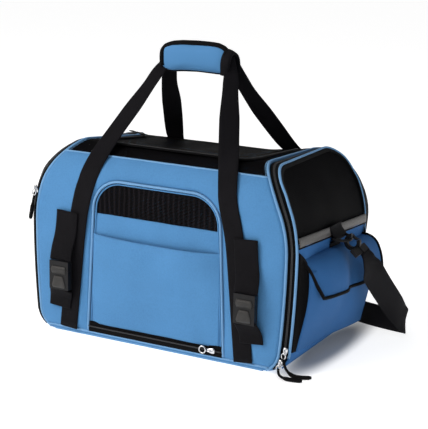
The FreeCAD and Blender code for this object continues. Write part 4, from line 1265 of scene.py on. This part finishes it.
GRIP_OUTLINE = ((-0.0690, 0.4180, 0.4250), (-0.0670, 0.4090, 0.4350), (-0.0600, 0.4045, 0.4425),
                (-0.0480, 0.4042, 0.4466), (-0.0320, 0.4060, 0.4488), (-0.0050, 0.4074, 0.4500),
                (0.0180, 0.4068, 0.4498), (0.0310, 0.4064, 0.4488), (0.0410, 0.4066, 0.4450),
                (0.0465, 0.4085, 0.4390), (0.0485, 0.4150, 0.4310))
GRIP_PROUD = 0.0002


def grip_surface(x, angle, proud=0.0):
    """A point on the padded grip, angle going round its length from the back over the top."""
    stations, lows, highs = np.array(GRIP_OUTLINE).T
    low, high = np.interp(x, stations, lows), np.interp(x, stations, highs)
    half = (high - low) / 2 + proud
    deep = 0.0125 * min(1.0, (half / 0.021)) ** 0.8 + proud
    c, s = math.cos(angle), math.sin(angle)
    y = deep * math.copysign(abs(c) ** 0.7, c)
    return Vector((x, y, (low + high) / 2 + half * math.copysign(abs(s) ** 0.75, s)))


def make_grip():
    """The padded wrap that closes round both handles, edged with black binding."""
    start, end = GRIP_OUTLINE[0][0], GRIP_OUTLINE[-1][0]

    def padding(t, angle):
        point = grip_surface(start + (end - start) * (0.5 - 0.5 * math.cos(t * math.pi)), angle)
        return point + Vector((0, wrinkle(point, 0.022, 0.0012), 0))

    wrap = add_loft("grip_wrap", table(padding, spread(0, 1, 44), turn(40)))
    inflate(wrap, 0.0040, 0.0025)
    coat(wrap, "blue")
    top, face, under = math.radians(103), math.radians(214), math.radians(262)
    first, last = start + 0.0035, end - 0.0040
    upper = [grip_surface(x, top, GRIP_PROUD) for x in spread(first, last, 24)]
    left = [grip_surface(first + 0.0010 * t, top + (face - top) * t, GRIP_PROUD) for t in (1.0, 0.66, 0.33)]
    right = [grip_surface(last - 0.0010 * t, top + (face - top) * t, GRIP_PROUD) for t in (0.33, 0.66, 1.0)]
    binding = coat(add_tube("grip_binding", nurbs_line(left + upper + right), 0.0042, 10), "binding")
    foot = [grip_surface(x, under, GRIP_PROUD) for x in spread(first + 0.003, last - 0.002, 16)]
    hem = coat(add_tube("grip_hem", nurbs_line(foot), 0.0014, 8), "binding")
    grip = join("handle_grip_cloth", [wrap, binding, hem])
    finish_piece(grip, "bag", "blue_fabric", "handle_grip")


# ---------------------------------------------------------------- belt loops


def make_belt_loop(name, end):
    """The short strap beside a handle, sewn at its ends and joined by a buckle."""
    low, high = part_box(f"{name}_belt_strap_upper")
    socket_low, socket_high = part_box(f"{name}_buckle_socket")
    face = -HALF_DEPTH - 0.0072
    proud = (socket_low.y + socket_high.y) / 2
    width = high.x - low.x

    def webbing(half, route):
        route = [(end * x, y, z) for x, y, z in route]
        strap = coat(add_ribbon(f"{name}_belt_{half}", route, (1, 0, 0), width, WEBBING), "webbing")
        return finish_piece(strap, "bag", "black_webbing", f"{name}_belt_strap_{half}")

    upper = webbing("upper", (
        (0.1520, face, high.z), (0.1530, face, high.z - 0.018), (0.1555, face - 0.001, high.z - 0.040),
        (0.1590, face - 0.004, 0.140), (0.1590, proud, 0.122), (0.1590, proud, 0.1195)))
    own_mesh(upper)
    low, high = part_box(f"{name}_belt_strap_lower")
    webbing("lower", ((0.1660, face, low.z), (0.1650, face, low.z + 0.012),
                      (0.1620, face - 0.003, low.z + 0.022), (0.1590, proud, high.z)))


def make_buckle_face(name, half, body, shape):
    """The raised grip plate moulded on the front of one half of a buckle, its lighter grey a painted
    highlight.
    """
    low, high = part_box(f"{name}_buckle_{half}")
    middle, reach = (low.x + high.x) / 2, (high.x - low.x) / 2

    def plate(step, share):
        level, wide, proud = step
        return Vector((middle + reach * wide * share, low.y - proud * (1 - abs(share) ** 6),
                       low.z + (high.z - low.z) * level))

    face = add_sheet(f"{name}_{half}_plate", table(plate, shape, spread(-1, 1, 15)), 0.0012, 0.0)
    # The lighter grey coat is a painted highlight on the buckle's face.
    finish_piece(coat(face, "plate"), body, "black_plastic")


SOCKET_PLATE = ((0.10, 0.62, 0.0002), (0.22, 0.70, 0.0014), (0.62, 0.50, 0.0014), (0.72, 0.42, 0.0002))
PRONGS_PLATE = ((0.50, 0.70, 0.0002), (0.62, 0.78, 0.0014), (0.70, 0.78, 0.0014), (0.80, 0.70, 0.0002))

# ---------------------------------------------------------------- zip sliders and pulls

SLIDER_OUTLINE = ((-1.0, 0.52), (-0.6, 0.60), (-0.1, 0.86), (0.35, 1.0), (0.8, 0.96), (1.0, 0.7))
SLIDER_BRIDGE = ((-0.72, 0.0010), (-0.60, 0.0034), (-0.1, 0.0042), (0.42, 0.0034), (0.56, 0.0010))
OUT = Vector((0, -1, 0))
END_SLIDERS = ((0.2165, 0.037, (0.1, 0, 1)), (0.2090, 0.0175, (0.45, 0, 1)), (-0.2150, 0.222, (0.15, 0, -1)))


def add_slider(name, centre, way, out, length=0.0135, width=0.0085):
    """A zip slider: a domed, shouldered body with a raised bridge, lying along way with its face to out."""
    side = way.cross(out).normalized()

    def skin(station, angle):
        along, wide = station
        thick = 0.0017 if abs(along) < 1 else 0.0010
        across = side * width / 2 * wide * math.cos(angle)
        return centre + way * along * length / 2 + across + out * thick * math.sin(angle)

    bridge = [centre + way * x * length / 2 + out * lift for x, lift in SLIDER_BRIDGE]
    return [add_loft(f"{name}_body", table(skin, SLIDER_OUTLINE, turn(12))),
            add_tube(f"{name}_bridge", nurbs_line(bridge), 0.0011, 8)]


def box_centre(node):
    low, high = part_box(node)
    return (low + high) / 2


def make_sliders():
    """The front pocket's slider, the roof's with its flat tab, and three plated ones on the end zips."""
    pieces = add_slider("sleeve_slider", box_centre("sleeve_zip_slider"), Vector((1, 0, 0)), OUT)
    slider = coat(join("sleeve_slider_metal", pieces), "metal")
    finish_piece(slider, "sleeve_slider", "zip_metal", "sleeve_zip_slider")
    centre = box_centre("top_zip_slider")
    pieces = add_slider("roof_slider", centre, OUT, Vector((0, 0, 1)))
    route = [centre + Vector(step) for step in ((0.002, -0.001, 0.0035), (-0.004, 0.002, 0.0080),
                                                (-0.014, 0.005, 0.0100), (-0.026, 0.006, 0.0090))]
    width = [(0.0, 0.007), (0.3, 0.012), (1.0, 0.012)]
    pieces.append(add_ribbon("roof_slider_tab", route, (0.2, 1, 0), width, 0.0034))
    slider = slump(coat(join("roof_slider_black", pieces), "plastic"))
    finish_piece(slider, "top_slider", "zip_metal", "top_zip_slider")
    pieces = []
    for number, (x, z, way) in enumerate(END_SLIDERS):
        centre = Vector((x, -HALF_DEPTH + 0.0002, z))
        pieces += add_slider(f"end_slider_{number}", centre, Vector(way).normalized(), OUT, 0.0125, 0.0078)
        loop = [centre + Vector((0.0032 * math.cos(a), -0.0054, 0.0042 * math.sin(a) - 0.005))
                for a in turn(16)]
        pieces.append(add_tube(f"end_slider_loop_{number}", loop, 0.0008, 8, closed=True))
    sliders = coat(join("end_slider_metal", pieces), "metal")
    finish_piece(sliders, "bag", "zip_metal", "end_zip_sliders")


PULL_DIAMETER = 0.0045
PULL_Y = -0.1354
PULL_ROUTES = (
    ("low_pull", 0.063, (
        (0.2150, PULL_Y, 0.0330), (0.2170, PULL_Y - 0.004, 0.0240), (0.2240, PULL_Y - 0.006, 0.0110),
        (0.2380, PULL_Y - 0.004, 0.0034), (0.2560, -0.1260, 0.0034))),
    ("floor_pull", 0.051, (
        (0.2080, PULL_Y, 0.0100), (0.2100, PULL_Y - 0.006, 0.0065), (0.2180, PULL_Y - 0.012, 0.0034),
        (0.2330, -0.1500, 0.0034), (0.2500, -0.1450, 0.0034))),
    ("left_pull", 0.044, (
        (-0.2150, PULL_Y, 0.2170), (-0.2170, PULL_Y - 0.0015, 0.2060),
        (-0.2200, PULL_Y - 0.001, 0.1920), (-0.2230, PULL_Y - 0.0015, 0.1740))),
)


def pull_girth(share):
    """A pull's radius along it: thin cord, then a moulded grip with a rounded end."""
    if share < 0.42:
        return PULL_DIAMETER / 2 * 0.9
    if share < 0.5:
        return PULL_DIAMETER / 2 * (0.9 + 0.5 * (share - 0.42) / 0.08)
    return PULL_DIAMETER / 2 * 1.4 * (1 - max(share - 0.93, 0.0) * 5)


def make_pulls():
    for name, length, route in PULL_ROUTES:
        line = nurbs_line(route)
        pull = coat(add_tube(f"{name}_cord", line, pull_girth, 12), "cord")
        finish_piece(pull, "bag", "black_cord", "zip_pulls")


# ---------------------------------------------------------------- shoulder strap

STRAP_WIDTH = 0.038
STRAP_THICKNESS = 0.0022
FLOOR_GAP = 0.0004
RIGHT_STRAP = (
    (0.2790, 0.000, 0.1640), (0.2840, 0.001, 0.1570), (0.2850, 0.008, 0.1430), (0.2850, 0.024, 0.1260),
    (0.2870, 0.048, 0.1030), (0.2920, 0.082, 0.0700), (0.2985, 0.112, 0.0390), (0.3030, 0.130, 0.0222),
    (0.2975, 0.1365, 0.0195), (0.2750, 0.139, 0.0191), (0.2400, 0.145, 0.0190), (0.1950, 0.160, 0.0189),
    (0.1500, 0.168, 0.0170), (0.1100, 0.176, 0.0110), (0.0600, 0.176, 0.0016), (0.0100, 0.174, 0.0016),
    (-0.0400, 0.176, 0.0016), (-0.0900, 0.178, 0.0016), (-0.1400, 0.176, 0.0016), (-0.1850, 0.174, 0.0016),
    (-0.2300, 0.174, 0.0016),
)
LEFT_STRAP = (
    (-0.2620, 0.171, 0.0060), (-0.2720, 0.158, 0.0110), (-0.2790, 0.135, 0.0280), (-0.2820, 0.105, 0.0560),
    (-0.2835, 0.072, 0.0900), (-0.2840, 0.040, 0.1220), (-0.2850, 0.012, 0.1430), (-0.2840, 0.001, 0.1570),
    (-0.2790, 0.000, 0.1640),
)
FACING, UPRIGHT, LEVEL = (0.56, 0.49, 0.67), (0, 0, 1), (0, 1, 0)
RIGHT_TWIST = [(0.0, (0.1, 1, 0.1)), (0.02, (0.2, 1, 0.2)), (0.08, FACING), (0.17, FACING),
               (0.25, (0.02, 0.1, 1)), (0.28, UPRIGHT), (0.45, UPRIGHT), (0.53, (0, 0.6, 0.8)),
               (0.62, LEVEL), (1.0, LEVEL)]
RIGHT_WIDTH = [(0.0, 0.026), (0.025, 0.030), (0.05, STRAP_WIDTH), (1.0, STRAP_WIDTH)]
LEFT_TWIST = [(0.0, LEVEL), (0.35, (-0.2, 0.8, 0.5)), (1.0, (0, 1, 0.2))]
LEFT_WIDTH = [(0.0, STRAP_WIDTH), (0.84, STRAP_WIDTH), (0.92, 0.030), (1.0, 0.026)]


def strap_cord(name, route, across, width, nodes):
    strap = coat(add_ribbon(name, route, across, width, STRAP_THICKNESS), "webbing")
    for vertex in strap.data.vertices:
        vertex.co.z = max(vertex.co.z, FLOOR_GAP)
    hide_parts(*nodes)
    [tuple(p) for p in nurbs_line(route)]
    return strap


def make_strap():
    """The shoulder strap: hung from both hooks, folded on the floor and lying behind the bag."""
    right = strap_cord("strap_right_webbing", RIGHT_STRAP, RIGHT_TWIST, RIGHT_WIDTH,
                       ("strap_right_run", "strap_floor_run"))
    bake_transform(right)
    left = strap_cord("strap_left_webbing", LEFT_STRAP, LEFT_TWIST, LEFT_WIDTH,
                      ("strap_left_run",))
    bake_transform(left)


# ---------------------------------------------------------------- making

make_camera()
make_light()
MATERIALS = make_materials()
make_floor()
make_strap()
make_pulls()

for name, end in ENDS.items():
    for part in ("buckle_socket", "buckle_prongs", "d_ring", "snap_hook", "hook_gate"):
        coat(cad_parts[f"{name}_{part}"], "plastic")
coat(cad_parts["strap_adjuster"], "plastic")
coat(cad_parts["sleeve_zip_ring"], "metal")

for make in (make_base, make_mat, make_front_panel, make_back_panel, make_window, make_sleeve,
             make_arch_piping, make_shell_pipings, make_zip_tapes, make_roof, make_roof_zip, make_sleeve_zip,
             make_cargo_pocket, make_cargo_flap, make_net_pocket, make_handles, make_grip, make_sliders):
    make()
for name, end in ENDS.items():
    make_door(name, end)
    make_ring_tab(name, end)
    make_belt_loop(name, end)
    make_buckle_face(name, "socket", "bag", SOCKET_PLATE)
    make_buckle_face(name, "prongs", f"{name}_buckle", PRONGS_PLATE)
